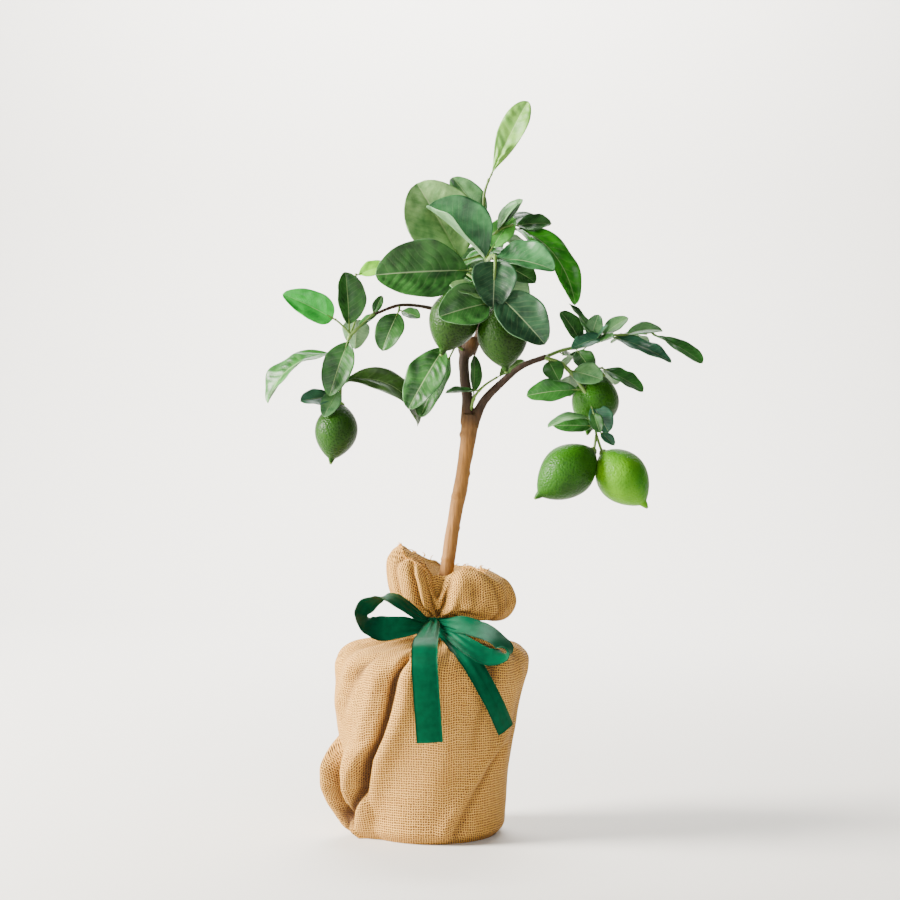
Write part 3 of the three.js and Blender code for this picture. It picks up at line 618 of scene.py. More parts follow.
def leaf_material(name, light, deep, roughness):
    """Lime leaf with its natural coat of wax: a soft gloss over deep and light patches, with a pale
    midrib, and side veins that show a little above and more below."""
    material, tree = start_material("lime_leaf_waxy_" + name)
    veins = LOWER_VEINS if name == "underside" else UPPER_VEINS
    # On the leaf, X counts its side veins and Y runs from -1 to 1 across the blade.
    place = add_node(tree, "UVMap", uv_map="leaf")
    axes = add_node(tree, "SeparateXYZ", {0: place})
    across = add_node(tree, "Math", {0: axes.outputs["Y"]}, operation="ABSOLUTE")
    midrib = add_node(tree, "Math", {0: across, 1: -26.0, 2: 1.0}, operation="MULTIPLY_ADD", use_clamp=True)
    phase = add_node(tree, "Math", {0: axes.outputs["X"], 1: 0.5}, operation="PINGPONG")
    streak = add_node(tree, "Math", {0: phase, 1: -7.0, 2: 1.0}, operation="MULTIPLY_ADD", use_clamp=True)
    margin = add_node(tree, "Math", {0: across, 1: 3.0}, operation="POWER")
    inner = add_node(tree, "Math", {0: 1.0, 1: margin}, operation="SUBTRACT", use_clamp=True)
    vein = add_node(tree, "Math", {0: streak, 1: inner}, operation="MULTIPLY")
    # Light and deep patches, which are also a little duller and glossier.
    body = add_node(tree, "TexCoord").outputs["Object"]
    patches = add_node(tree, "TexNoise", {0: body, "Scale": fineness(LEAF_PATCH), "Detail": 3.0})
    mottle = add_node(
        tree, "Math", {0: patches, 1: 2.5, 2: -0.75}, operation="MULTIPLY_ADD", use_clamp=True)
    blade = add_node(tree, "Mix", {0: mottle, 6: srgb(deep), 7: srgb(light)}, data_type="RGBA")
    vein_share = add_node(tree, "Math", {0: vein, 1: veins}, operation="MULTIPLY")
    veined = add_node(tree, "Mix", {0: vein_share, 6: blade, 7: srgb("#a9c48a")}, data_type="RGBA")
    rib_share = add_node(tree, "Math", {0: midrib, 1: 0.5}, operation="MULTIPLY")
    ribbed = add_node(tree, "Mix", {0: rib_share, 6: veined, 7: srgb("#b4cb92")}, data_type="RGBA")
    grain = add_node(tree, "TexNoise", {0: body, "Scale": fineness(LEAF_GRAIN), "Detail": 2.0})
    relief = add_node(tree, "Math", {0: vein, 1: -0.6, 2: grain}, operation="MULTIPLY_ADD")
    bump = add_node(tree, "Bump", {"Height": relief, "Strength": 0.18, "Distance": 0.0005})
    dull = add_node(tree, "Math", {0: patches, 1: 0.16, 2: roughness - 0.06}, operation="MULTIPLY_ADD")
    surface = add_node(tree, "BsdfPrincipled", {
        "Base Color": ribbed, "Roughness": dull, "IOR": 1.36, "Normal": bump,
    })
    add_node(tree, "OutputMaterial", {"Surface": surface})
    return material


def twig_material():
    """Green skin of this year's twigs and leaf stalks, as grown: half matt, blotched and uneven."""
    material, tree = start_material("lime_twig_green")
    body = add_node(tree, "TexCoord").outputs["Object"]
    blotch = add_node(tree, "TexNoise", {0: body, "Scale": fineness(TWIG_BLOTCH), "Detail": 4.0})
    colour = add_node(tree, "Mix", {0: blotch, 6: srgb("#35541f"), 7: srgb("#6d8c3a")}, data_type="RGBA")
    bump = add_node(tree, "Bump", {"Height": blotch, "Strength": 0.3, "Distance": 0.0004})
    surface = add_node(tree, "BsdfPrincipled", {
        "Base Color": colour, "Roughness": 0.5, "IOR": 1.42, "Normal": bump,
    })
    add_node(tree, "OutputMaterial", {"Surface": surface})
    return material


def bark_material():
    """Young citrus bark, as grown: matt and finely cracked, tan on old wood and dark on young wood."""
    material, tree = start_material("citrus_bark_young")
    body = add_node(tree, "TexCoord").outputs["Object"]
    young_wood = add_node(tree, "Attribute", attribute_name="young_wood").outputs["Fac"]
    # The cracks are seven times as long as they are wide, along the trunk.
    upright = add_node(tree, "Mapping", {0: body, "Scale": (1.0, 1.0, 0.14)})
    cracks = add_node(tree, "TexNoise", {0: upright, "Scale": fineness(BARK_CRACK), "Detail": 5.0})
    blotch = add_node(tree, "TexNoise", {0: body, "Scale": fineness(BARK_BLOTCH), "Detail": 4.0})
    barks = []
    for furrow, ridge, stain, share in BARK_COLOURS:
        cracked = add_node(tree, "Mix", {0: cracks, 6: srgb(furrow), 7: srgb(ridge)}, data_type="RGBA")
        stain_share = add_node(tree, "Math", {0: blotch, 1: share}, operation="MULTIPLY")
        barks.append(add_node(tree, "Mix", {0: stain_share, 6: cracked, 7: srgb(stain)}, data_type="RGBA"))
    colour = add_node(tree, "Mix", {0: young_wood, 6: barks[0], 7: barks[1]}, data_type="RGBA")
    relief = add_node(tree, "Math", {0: blotch, 1: 0.6, 2: cracks}, operation="MULTIPLY_ADD")
    bump = add_node(tree, "Bump", {"Height": relief, "Strength": 0.55, "Distance": 0.0008})
    surface = add_node(tree, "BsdfPrincipled", {
        "Base Color": colour, "Roughness": 0.75, "IOR": 1.45, "Normal": bump,
    })
    add_node(tree, "OutputMaterial", {"Surface": surface})
    return material


def rind_material(name, deep, light):
    """Lime rind: oily skin as grown, pitted with glands, which breaks each highlight up; the side towards
    the key lamp is painted lighter.
    """
    material, tree = start_material("lime_rind_oily_" + name)
    body = add_node(tree, "TexCoord").outputs["Object"]
    # Painted light: the side facing the key lamp is mixed towards the lighter colour.
    painted_lit_side = add_node(tree, "Attribute", attribute_name="painted_lit_side").outputs["Fac"]
    drift = add_node(tree, "TexNoise", {0: body, "Scale": fineness(RIND_DRIFT), "Detail": 3.0})
    patches_and_lit_side = add_node(tree, "Math", {0: drift, 1: 0.7, 2: painted_lit_side}, operation="MULTIPLY_ADD")
    share = add_node(tree, "Math", {0: patches_and_lit_side, 1: 0.25}, operation="SUBTRACT", use_clamp=True)
    colour = add_node(tree, "Mix", {0: share, 6: srgb(deep), 7: srgb(light)}, data_type="RGBA")
    glands = add_node(tree, "TexVoronoi", {0: body, "Scale": fineness(RIND_PIT)})
    pits = add_node(tree, "Math", {0: glands, 1: 1.6}, operation="MULTIPLY", use_clamp=True)
    dot_share = add_node(tree, "Math", {0: pits, 1: 0.06}, operation="MULTIPLY")
    dotted = add_node(tree, "Mix", {0: dot_share, 6: colour, 7: srgb("#6aa428")}, data_type="RGBA")
    bump = add_node(tree, "Bump", {"Height": pits, "Strength": 0.6, "Distance": 0.0007})
    surface = add_node(tree, "BsdfPrincipled", {
        "Base Color": dotted, "Roughness": 0.42, "IOR": 1.32, "Specular IOR Level": 0.28, "Normal": bump,
    })
    add_node(tree, "OutputMaterial", {"Surface": surface})
    return material


def hessian_material():
    """Hessian, an open plain weave of jute: matt and dry, with dark holes between uneven yarns, painted
    shade on the yarns' edges, and painted shade in its creases and in the gap behind the loose fold.
    """
    material, tree = start_material("hessian_plain_woven")
    cloth = add_node(tree, "UVMap", uv_map="cloth")
    # The threads wander by up to a millimetre from straight.
    wander = add_node(tree, "TexNoise", {0: cloth, "Scale": 2.2, "Detail": 2.0}).outputs["Color"]
    wander = add_node(
        tree, "VectorMath", {0: wander, 1: [0.22] * 3, 2: [-0.11] * 3}, operation="MULTIPLY_ADD")
    place = add_node(tree, "VectorMath", {0: cloth, 1: wander}, operation="ADD")
    axes = add_node(tree, "SeparateXYZ", {0: place})
    # The cloth's own coordinates are in centimetres, and each thread is half a turn of a sine.
    half_turns = math.pi / (THREAD_SPACING / 10)
    waves, yarns, tones = [], [], []
    for axis, stretch in (("X", (4.2, 0.16, 1.0)), ("Y", (0.16, 4.2, 1.0))):
        turn = add_node(tree, "Math", {0: axes.outputs[axis], 1: half_turns}, operation="MULTIPLY")
        waves.append(add_node(tree, "Math", {0: turn}, operation="SINE"))
        yarns.append(add_node(tree, "Math", {0: waves[-1]}, operation="ABSOLUTE"))
        # Single yarns differ: noise as wide as a thread is drawn out along it.
        drawn = add_node(tree, "Mapping", {0: place, "Scale": stretch})
        tones.append(add_node(tree, "TexNoise", {0: drawn, "Scale": 1.0, "Detail": 2.0}))
    # Where neither yarn covers the place there is a dark hole, and the ramp into it darkens each yarn's
    # edges with painted shade.
    cover = add_node(tree, "Math", {0: yarns[0], 1: yarns[1]}, operation="MAXIMUM")
    cover = add_node(tree, "Math", {0: cover, 1: 4.6, 2: -3.312}, operation="MULTIPLY_ADD", use_clamp=True)
    tone = add_node(tree, "Math", {0: tones[0], 1: tones[1]}, operation="ADD")
    tone = add_node(tree, "Math", {0: tone, 1: 0.5}, operation="MULTIPLY")
    colour = add_node(tree, "Mix", {0: tone, 6: srgb("#aa6e1e"), 7: srgb("#f6c264")}, data_type="RGBA")
    body = add_node(tree, "TexCoord").outputs["Object"]
    stain = add_node(tree, "TexNoise", {0: body, "Scale": fineness(SACK_STAIN), "Detail": 3.0})
    stain = add_node(tree, "Math", {0: stain, 1: 0.3}, operation="MULTIPLY")
    colour = add_node(tree, "Mix", {0: stain, 6: colour, 7: srgb("#c0842a")}, data_type="RGBA")
    # Painted shade: the colour darkens in the deep creases and in the gap behind the loose fold.
    creased = add_node(tree, "Attribute", attribute_name="creased").outputs["Fac"]
    colour = add_node(tree, "Mix", {0: creased, 6: colour, 7: srgb("#3c1d05")}, data_type="RGBA")
    colour = add_node(tree, "Mix", {0: cover, 6: srgb("#2c1404"), 7: colour}, data_type="RGBA")
    # Each yarn is round, and passes over one crossing and under the next.
    over = add_node(tree, "Math", {0: waves[0], 1: waves[1]}, operation="MULTIPLY")
    height = add_node(tree, "Math", {0: yarns[0], 1: yarns[1]}, operation="ADD")
    height = add_node(tree, "Math", {0: over, 1: 0.5, 2: height}, operation="MULTIPLY_ADD")
    bump = add_node(tree, "Bump", {"Height": height, "Strength": 0.6, "Distance": 0.0005})
    surface = add_node(tree, "BsdfPrincipled", {
        "Base Color": colour, "Roughness": 0.92, "IOR": 1.4, "Normal": bump,
    })
    add_node(tree, "OutputMaterial", {"Surface": surface})
    return material


def satin_material():
    """Polyester satin, woven with long floats: a tinted gloss that is drawn out across the ribbon,
    over faint cross ribs."""
    material, tree = start_material("polyester_satin_woven")
    place = add_node(tree, "UVMap", uv_map="ribbon")
    axes = add_node(tree, "SeparateXYZ", {0: place})
    # The ribbon's own coordinates are in centimetres, and each rib is a whole turn of a sine.
    turns = 2 * math.pi / (RIBBON_RIB / 10)
    turn = add_node(tree, "Math", {0: axes.outputs["X"], 1: turns}, operation="MULTIPLY")
    ribs = add_node(tree, "Math", {0: turn}, operation="SINE")
    slub = add_node(tree, "TexNoise", {0: place, "Scale": 1.6, "Detail": 3.0})
    colour = add_node(tree, "Mix", {0: slub, 6: srgb("#03321f"), 7: srgb("#054c32")}, data_type="RGBA")
    height = add_node(tree, "Math", {0: ribs, 1: 0.25, 2: slub}, operation="MULTIPLY_ADD")
    bump = add_node(tree, "Bump", {"Height": height, "Strength": 0.12, "Distance": 0.0004})
    # The warp runs along the ribbon and draws each highlight out across it.
    warp = add_node(tree, "Tangent", direction_type="UV_MAP", uv_map="ribbon")
    surface = add_node(tree, "BsdfPrincipled", {
        "Base Color": colour, "Roughness": 0.40, "IOR": 1.18, "Specular Tint": srgb("#4cc08c"),
        "Anisotropic": 0.8, "Anisotropic Rotation": 0.25, "Tangent": warp, "Normal": bump,
    })
    add_node(tree, "OutputMaterial", {"Surface": surface})
    return material


def floor_material():
    """Board with matt paint, rolled on: almost white and without a gloss."""
    material, tree = start_material("board_painted_matt")
    surface = add_node(tree, "BsdfPrincipled", {"Base Color": srgb("#d6d3cd"), "Roughness": 0.8})
    add_node(tree, "OutputMaterial", {"Surface": surface})
    return material


# Mesh making

class Stock:
    """Gathers the points and faces of one piece, with each face's material slot, each corner's
    place on the surface and each point's own value."""

    def __init__(self):
        self.points = []
        self.faces = []
        self.slots = []
        self.uvs = []
        self.values = []
        self.count = 0

    def add(self, points, faces, slot=0, uvs=None, values=None):
        """Adds one body; the slot is one number for all of its faces or a list of them."""
        points = np.asarray(points, float).reshape(-1, 3)
        corners = sum(len(face) for face in faces)
        self.points.append(points)
        self.faces.extend([[corner + self.count for corner in face] for face in faces])
        self.slots.extend([slot] * len(faces) if isinstance(slot, int) else slot)
        self.uvs.extend(uvs if uvs is not None else [(0.0, 0.0)] * corners)
        self.values.extend(values if values is not None else [0.0] * len(points))
        self.count += len(points)

    def piece(self, name, materials, uv_name=None, value_name=None):
        """Turns all that was gathered into one object."""
        mesh = bpy.data.meshes.new(name)
        mesh.from_pydata((np.concatenate(self.points) * MM).tolist(), [], self.faces)
        for material in materials:
            mesh.materials.append(material)
        mesh.polygons.foreach_set("material_index", self.slots)
        mesh.polygons.foreach_set("use_smooth", [True] * len(self.faces))
        if uv_name:
            layer = mesh.uv_layers.new(name=uv_name)
            layer.data.foreach_set("uv", np.asarray(self.uvs, float).ravel())
        if value_name:
            attribute = mesh.attributes.new(value_name, "FLOAT", "POINT")
            attribute.data.foreach_set("value", np.asarray(self.values, float))
        mesh.update()
        piece = bpy.data.objects.new(name, mesh)
        bpy.context.scene.collection.objects.link(piece)
        return piece


def grid_faces(rows, columns, closed=False, flip=False):
    """Four-sided faces over a grid of points, with each corner's row and column.

    A closed grid joins its last column to its first."""
    faces, corners = [], []
    for i in range(rows - 1):
        for j in range(columns if closed else columns - 1):
            k = (j + 1) % columns
            face = [i * columns + j, i * columns + k, (i + 1) * columns + k, (i + 1) * columns + j]
            corner = [(i, j), (i, j + 1), (i + 1, j + 1), (i + 1, j)]
            if flip:
                face.reverse()
                corner.reverse()
            faces.append(face)
            corners.extend(corner)
    return faces, corners


def tube(places, radius_at, sides, steps):
    """A round tapering limb along a smooth line, closed with small caps."""
    rings = []
    up = np.array([0.13, -0.98, 0.15])
    for i in range(steps + 1):
        share = i / steps
        along = line_direction(places, share)
        up = unit(up - np.dot(up, along) * along)
        right = np.cross(along, up)
        turns = np.linspace(0, 2 * math.pi, sides, endpoint=False)
        ring = line_point(places, share) + radius_at(share) * (
            np.outer(-np.cos(turns), right) + np.outer(np.sin(turns), up))
        rings.append(ring)
    faces, _ = grid_faces(steps + 1, sides, closed=True)
    points = np.concatenate(rings)
    ends = [rings[0].mean(axis=0), rings[-1].mean(axis=0)]
    first, last = len(points), len(points) + 1
    for j in range(sides):
        k = (j + 1) % sides
        faces.append([first, k, j])
        faces.append([last, steps * sides + j, steps * sides + k])
    return np.concatenate([points, ends]), faces


def taper(radii):
    """A radius for each share of a limb, read between even steps."""
    return lambda share: np.interp(share, np.linspace(0, 1, len(radii)), radii)


def surface_normals(grid):
    """The direction in which a grid of points faces, at each point."""
    normals = np.cross(np.gradient(grid, axis=0), np.gradient(grid, axis=1))
    return normals / np.maximum(np.linalg.norm(normals, axis=2, keepdims=True), 1e-9)


def rim_pairs(rows, columns):
    """Neighbouring points round the edge of a grid, as pairs."""
    rim = [i * columns for i in range(rows)]
    rim += [(rows - 1) * columns + j for j in range(1, columns)]
    rim += [i * columns + columns - 1 for i in range(rows - 2, -1, -1)]
    rim += [j for j in range(columns - 2, 0, -1)]
    return zip(rim, rim[1:] + rim[:1])


def square_to(axis):
    """Two directions that are square to an axis and to each other."""
    right = unit(np.cross(axis, np.array([0.1, -0.99, 0.05])))
    return right, np.cross(right, axis)


def pleats_round(count, sway, least, more, random):
    """Bearings and strengths of pleats that are spread unevenly round a neck of cloth."""
    return [
        (360 * k / count + sway * (next(random) - 0.5), least + more * next(random))
        for k in range(count)
    ]


# Leaves, twigs and limes, grown by the same rule as the solids

def leaf_frame(leaf):
    """The leaf's direction, its upper side and its sideways direction."""
    along = bearing(leaf["heading"], leaf["rise"])
    level = unit(np.array([0.0, 0.0, 1.0]) - along[2] * along)
    front = np.cross(along, level)
    if front[1] > 0:
        front = -front
    roll = math.radians(leaf["roll"])
    up = level * math.cos(roll) + front * math.sin(roll)
    return along, up, np.cross(along, up)


def leaf_station(leaf, share):
    """At a share of the blade: its centre, the way it lifts, and half its width."""
    along, up, side = leaf_frame(leaf)
    arch = math.radians(max(leaf["arch"], 1))
    bend = arch * (0.5 - share)
    centre = (
        leaf["base"]
        + along * (leaf["long"] * (math.sin(arch / 2) - math.sin(bend)) / arch)
        + up * (leaf["long"] * (math.cos(bend) - math.cos(arch / 2)) / arch)
    )
    lift = up * math.cos(bend) - along * math.sin(bend)
    # The outline is a sine, shifted to its widest place and made fuller.
    shape = math.log(0.5) / math.log(leaf["widest"])
    blunt = 0.75 - 0.2 * share
    half = leaf["wide"] / 2 * max(math.sin(math.pi * share ** shape), 0) ** blunt
    return centre, lift, side, half


def leaf_outline(leaf):
    """A few points down the blade's middle and along both margins."""
    spans = 6 if leaf["long"] > LONG_LEAF else 4
    fold = math.radians(leaf["fold"])
    outline = []
    for i in range(1, spans + 1):
        centre, lift, side, half = leaf_station(leaf, i / spans)
        outline.append(centre)
        for sign in (-1, 1):
            outline.append(centre + side * (sign * half * math.cos(fold)) + lift * (half * math.sin(fold)))
    return outline


def distance_to_span(place, start, end):
    """How far a place is from the straight line between two others."""
    reach = end - start
    share = np.clip(np.dot(place - start, reach) / np.dot(reach, reach), 0, 1)
    return np.linalg.norm(place - start - share * reach)


def fruit_of(mass):
    """The mass's rows of fruit, each with its fields by name."""
    return [dict(zip(FRUIT_FIELDS, row)) for row in mass.get("fruit", [])]


ALL_FRUIT = [fruit for mass in MASSES for fruit in fruit_of(mass)]


def clear_of_all(place):
    """Whether a place keeps clear of every limb and every fruit."""
    for stations in LIMBS:
        for one, two in zip(stations, stations[1:]):
            reach = max(one[3], two[3]) + LIMB_MARGIN
            if distance_to_span(place, np.array(one[:3], float), np.array(two[:3], float)) < reach:
                return False
    for fruit in ALL_FRUIT:
        axis = bearing(fruit["heading"], fruit["rise"])
        low = np.array(fruit["top"], float) + axis * fruit["wide"] * 0.4
        high = np.array(fruit["top"], float) + axis * (fruit["long"] - fruit["wide"] * 0.4)
        if distance_to_span(place, low, high) < fruit["wide"] / 2 + LIMB_MARGIN:
            return False
    return True


def twig_places(start, legs):
    """The bends of a twig, leg by leg."""
    places = [np.array(start, float)]
    for heading, rise, long in legs:
        places.append(places[-1] + bearing(heading, rise) * long)
    return places


def twig_lines(mass):
    """The bends of every twig of a mass; a side twig starts on an earlier one."""
    lines = []
    for twig in mass["twigs"]:
        start = twig.get("start")
        if start is None:
            parent, share = twig["from"]
            start = line_point(lines[parent], share)
        lines.append(twig_places(start, twig["legs"]))
    return lines


HIDDEN_COLOURS = ("dark", "mid", "sheen", "dark", "teal", "mid")


def drawn_from(limits, random):
    """A number drawn evenly between two limits."""
    return limits[0] + (limits[1] - limits[0]) * next(random)


def fill_leaves(mass, lines):
    """Leaves by rule for the hidden sides, kept inside the mass's own space."""
    if "fill" not in mass:
        return []
    rule = mass["fill"]
    random = seeded(rule["seed"])
    low, high = (np.array(corner, float) for corner in mass["space"])
    leaves = []
    for line in lines:
        count = int(line_length(line) / rule["every"])
        for i in range(1, count + 1):
            node = line_point(line, i / count)
            for _ in range(FILL_TRIES):
                heading = (GOLDEN_ANGLE * i + 360 * next(random)) % 360
                rise = drawn_from(rule["rise"], random)
                long = drawn_from(rule["long"], random)
                wide = long * drawn_from(rule["share"], random)
                roll = 50 * (next(random) - 0.5)
                arch = 14 + 30 * next(random)
                leaf = {
                    "colour": HIDDEN_COLOURS[len(leaves) % len(HIDDEN_COLOURS)],
                    "node": node,
                    "base": node + bearing(heading, rise) * FILL_STALK,
                    "heading": heading,
                    "rise": rise,
                    "long": long,
                    "wide": wide,
                    "arch": arch,
                    "roll": roll,
                    "widest": LEAF_WIDEST,
                    "fold": LEAF_FOLD,
                }
                outline = leaf_outline(leaf)
                if all((p >= low).all() and (p <= high).all() and clear_of_all(p) for p in outline):
                    leaves.append(leaf)
                    break
    return leaves


def named_leaves(mass, lines):
    """The leaves that the mass's rows give one by one."""
    leaves = []
    for twig, line in zip(mass["twigs"], lines):
        for row in twig.get("leaves", []):
            colour, at, stalk, heading, rise, long, wide, arch, roll = row[:9]
            node = line_point(line, min(at, 0.98))
            leaves.append({
                "colour": colour,
                "node": node,
                "base": node + bearing(heading, rise) * stalk,
                "heading": heading,
                "rise": rise,
                "long": long,
                "wide": wide,
                "arch": arch,
                "roll": roll,
                "widest": row[9] if len(row) > 9 else LEAF_WIDEST,
                "fold": row[10] if len(row) > 10 else LEAF_FOLD,
            })
    return leaves


LEAF_THICKNESS = 0.45
# How far apart a blade's points lie, and how far its side veins run back for each mm across it.
LEAF_CELL = 1.7
VEIN_SLOPE = 0.62
# Relief of a blade, as shares of its length: the pucker between its side veins, the waves of its
# margin and the slow lift of each half. Its tip is turned by up to half of the twist.
LEAF_PUCKER = 0.011
LEAF_WAVE = 0.014
LEAF_LIFT = 0.035
LEAF_TWIST = 16
MIDRIB_HEIGHT = 0.9
MIDRIB_WIDTH = 1.1
PALETTE = list(LEAF_COLOURS)


def add_leaf(stock, leaf, random):
    """One blade: folded on its midrib, puckered between side veins, wavy at its margin."""
    long, wide = leaf["long"], leaf["wide"]
    rows = int(np.clip(long / LEAF_CELL, 14, 56)) + 1
    columns = 2 * int(np.clip(wide / LEAF_CELL / 2, 5, 18)) + 1
    fold = math.radians(leaf["fold"])
    # Nine to twelve side veins on each side, and about two waves along the margin.
    pitch = long / (9 + 3 * next(random))
    pucker = LEAF_PUCKER * long * (0.7 + 0.6 * next(random))
    wave = LEAF_WAVE * long * (0.5 + next(random))
    waves = 1.4 + 1.4 * next(random)
    offset = Vector((60 * next(random), 60 * next(random), 60 * next(random)))
    wave_start = 6.28 * next(random)
    twist = math.radians(LEAF_TWIST * (next(random) - 0.5))
    across = np.linspace(-1, 1, columns)
    top, phases = [], []
    for i in range(rows):
        share = i / (rows - 1)
        centre, lift, side, half = leaf_station(leaf, share)
        # The blade is never narrower than its midrib.
        half = max(half, 0.5 * (1 - share) + 0.12)
        cosine, sine = math.cos(twist * (share - 0.3)), math.sin(twist * (share - 0.3))
        side, lift = side * cosine + lift * sine, lift * cosine - side * sine
        x = half * across
        # Side veins run outwards and forwards in a slight curve, unevenly spaced.
        phase = (share * long - VEIN_SLOPE * np.abs(x) - 0.008 * x ** 2) / pitch
        swing = np.array([noise.noise(Vector((4.6 * share, 1.8 * a, 0)) + offset) for a in across])
        phase = phase + 0.5 * swing + 0.25 * (across > 0)
        body = math.sin(math.pi * share) ** 0.5 if 0 < share < 1 else 0.0
        # From the midrib out: the fold, the pucker, the lift of each half and the margin's waves.
        rise = half * math.sin(fold) * np.abs(across) ** 1.5
        quilt = pucker * body * (1 + 2.2 * swing) * np.abs(np.sin(math.pi * phase))
        rise += quilt * np.sin(math.pi * np.abs(across)) ** 0.7
        rise += LEAF_LIFT * long * body * swing * np.abs(across)
        rise += wave * body * np.abs(across) ** 3 * np.sin(
            waves * 2 * math.pi * share + wave_start + 1.4 * np.sign(across))
        # The midrib is a shallow groove on the upper side.
        rise -= 0.5 * (1 - share) * np.exp(-((x / 0.9) ** 2))
        top.append(centre + np.outer(x * math.cos(fold), side) + np.outer(rise, lift))
        phases.append(np.column_stack([phase, across]))
    top = np.array(top)
    normals = surface_normals(top)
    along_share = np.linspace(0, 1, rows)[:, None]
    from_rib = across[None, :] * wide / 2 / MIDRIB_WIDTH
    rib = MIDRIB_HEIGHT * (1 - 0.8 * along_share) * np.exp(-(from_rib ** 2))
    flip = bool(np.dot(normals[rows // 2, columns // 2], leaf_station(leaf, 0.5)[1]) > 0)
    down = -normals if flip else normals
    under = top + down * (LEAF_THICKNESS + rib)[:, :, None]
    places = np.array(phases)
    size = rows * columns
    top_faces, top_corners = grid_faces(rows, columns, flip=not flip)
    under_faces, under_corners = grid_faces(rows, columns, flip=flip)
    faces = top_faces + [[c + size for c in face] for face in under_faces]
    corners = top_corners + under_corners
    underside = PALETTE.index("underside")
    slots = [PALETTE.index(leaf["colour"])] * len(top_faces) + [underside] * len(under_faces)
    for a, b in rim_pairs(rows, columns):
        face = [a, b, b + size, a + size] if flip else [b, a, a + size, b + size]
        faces.append(face)
        corners.extend([divmod(c % size, columns) for c in face])
        slots.append(underside)
    uvs = [tuple(places[i, j]) for i, j in corners]
    stock.add(np.concatenate([top.reshape(-1, 3), under.reshape(-1, 3)]), faces, slots, uvs)


def add_stalk(stock, leaf):
    """The leaf stalk: thickened where it leaves the twig and where the blade is jointed on."""
    into = leaf_station(leaf, 0.12)[0]
    places = [leaf["node"], leaf["base"], into]
    thick = 0.75 if leaf["long"] < 40 else 1.0
    radii = [radius * thick for radius in (1.5, 0.95, 0.85, 1.05, 0.6, 0.3)]
    stock.add(*tube(places, taper(radii), 8, 12))


def add_twig(stock, line, radii, leaves_at):
    """A twig with a slight swelling at each leaf."""
    smooth = taper(radii)

    def radius(share):
        """The twig's taper with its swellings."""
        knots = sum(0.35 * math.exp(-((share - at) / 0.03) ** 2) for at in leaves_at)
        return smooth(share) * (1 + knots)

    steps = max(12, int(line_length(line) / 1.6))
    stock.add(*tube(line, radius, 12, steps))


def rind_radius(share):
    """A lime's outline: drawn in at its stalk, round in the middle and out to a blunt nipple."""
    if share >= 1:
        return 0.0
    body = math.sin(math.pi * (share / 0.92) ** 0.94) ** 0.62 if share < 0.92 else 0.0
    end = math.sqrt(1 - ((share - 0.84) / 0.16) ** 2) if share > 0.84 else share
    return (body ** 3 + (0.17 * end) ** 3) ** (1 / 3)


RIND_SIDES = 56
RIND_RINGS = 52
# The way towards the key lamp on the left, where each lime is painted lighter.
LIT_SIDE = unit(np.array([-0.8, -0.5, 0.1]))


def add_fruit(stock, fruit, slot, random):
    """One lime, slightly uneven, painted lighter on the side that faces the key lamp."""
    top = np.array(fruit["top"], float)
    axis = bearing(fruit["heading"], fruit["rise"])
    right, up = square_to(axis)
    turns = np.linspace(0, 2 * math.pi, RIND_SIDES, endpoint=False)
    offset = Vector([50 * next(random) for _ in range(3)])
    points, values = [], []
    for i in range(RIND_RINGS + 1):
        share = i / RIND_RINGS
        # Rings crowd towards both ends, where the outline turns fastest.
        share = 0.5 - 0.5 * math.cos(math.pi * share)
        radius = fruit["wide"] / 2 * max(rind_radius(share), 0.02)
        for turn in turns:
            out = -math.cos(turn) * right + math.sin(turn) * up
            lump = noise.noise(Vector(out * 1.4 + axis * share * 3) + offset)
            place = top + axis * fruit["long"] * share + out * radius * (1 + 0.022 * lump)
            points.append(place)
            # Painted light: lighter where the rind faces the key lamp, fading away from it.
            values.append(0.45 * max(0.0, float(np.dot(out, LIT_SIDE))) ** 1.5)
    faces, _ = grid_faces(RIND_RINGS + 1, RIND_SIDES, closed=True)
    faces.append(list(range(RIND_SIDES - 1, -1, -1)))
    last = RIND_RINGS * RIND_SIDES
    faces.append(list(range(last, last + RIND_SIDES)))
    stock.add(points, faces, slot, None, values)


BUTTON_SIDES = 30
BUTTON_RINGS = [(1.6, -2.2), (3.4, -0.6), (3.8, 0.9), (3.0, 2.2)]


def add_fruit_stalk(stock, fruit, line):
    """The fruit's stalk with a five-lobed button on the rind, and the dry tip at its far end."""
    axis = bearing(fruit["heading"], fruit["rise"])
    top = np.array(fruit["top"], float)
    stock.add(*tube([line[fruit["at"]], top, top + axis * 3], taper([1.4, 1.3, 1.5, 1.9]), 10, 12))
    right, up = square_to(axis)
    points = []
    for radius, height in BUTTON_RINGS:
        for j in range(BUTTON_SIDES):
            turn = 2 * math.pi * j / BUTTON_SIDES
            lobe = radius * (1 + 0.16 * math.cos(5 * turn))
            out = -math.cos(turn) * right + math.sin(turn) * up
            points.append(top + axis * height + out * lobe)
    faces, _ = grid_faces(len(BUTTON_RINGS), BUTTON_SIDES, closed=True)
    last = (len(BUTTON_RINGS) - 1) * BUTTON_SIDES
    faces.append(list(range(BUTTON_SIDES - 1, -1, -1)))
    faces.append(list(range(last, last + BUTTON_SIDES)))
    stock.add(points, faces)
    tip = top + axis * fruit["long"]
    line = [tip - axis * 1.2, tip - axis * 0.3, tip + axis * 0.6]
    stock.add(*tube(line, taper([1.7, 1.6, 0.9]), 12, 6))


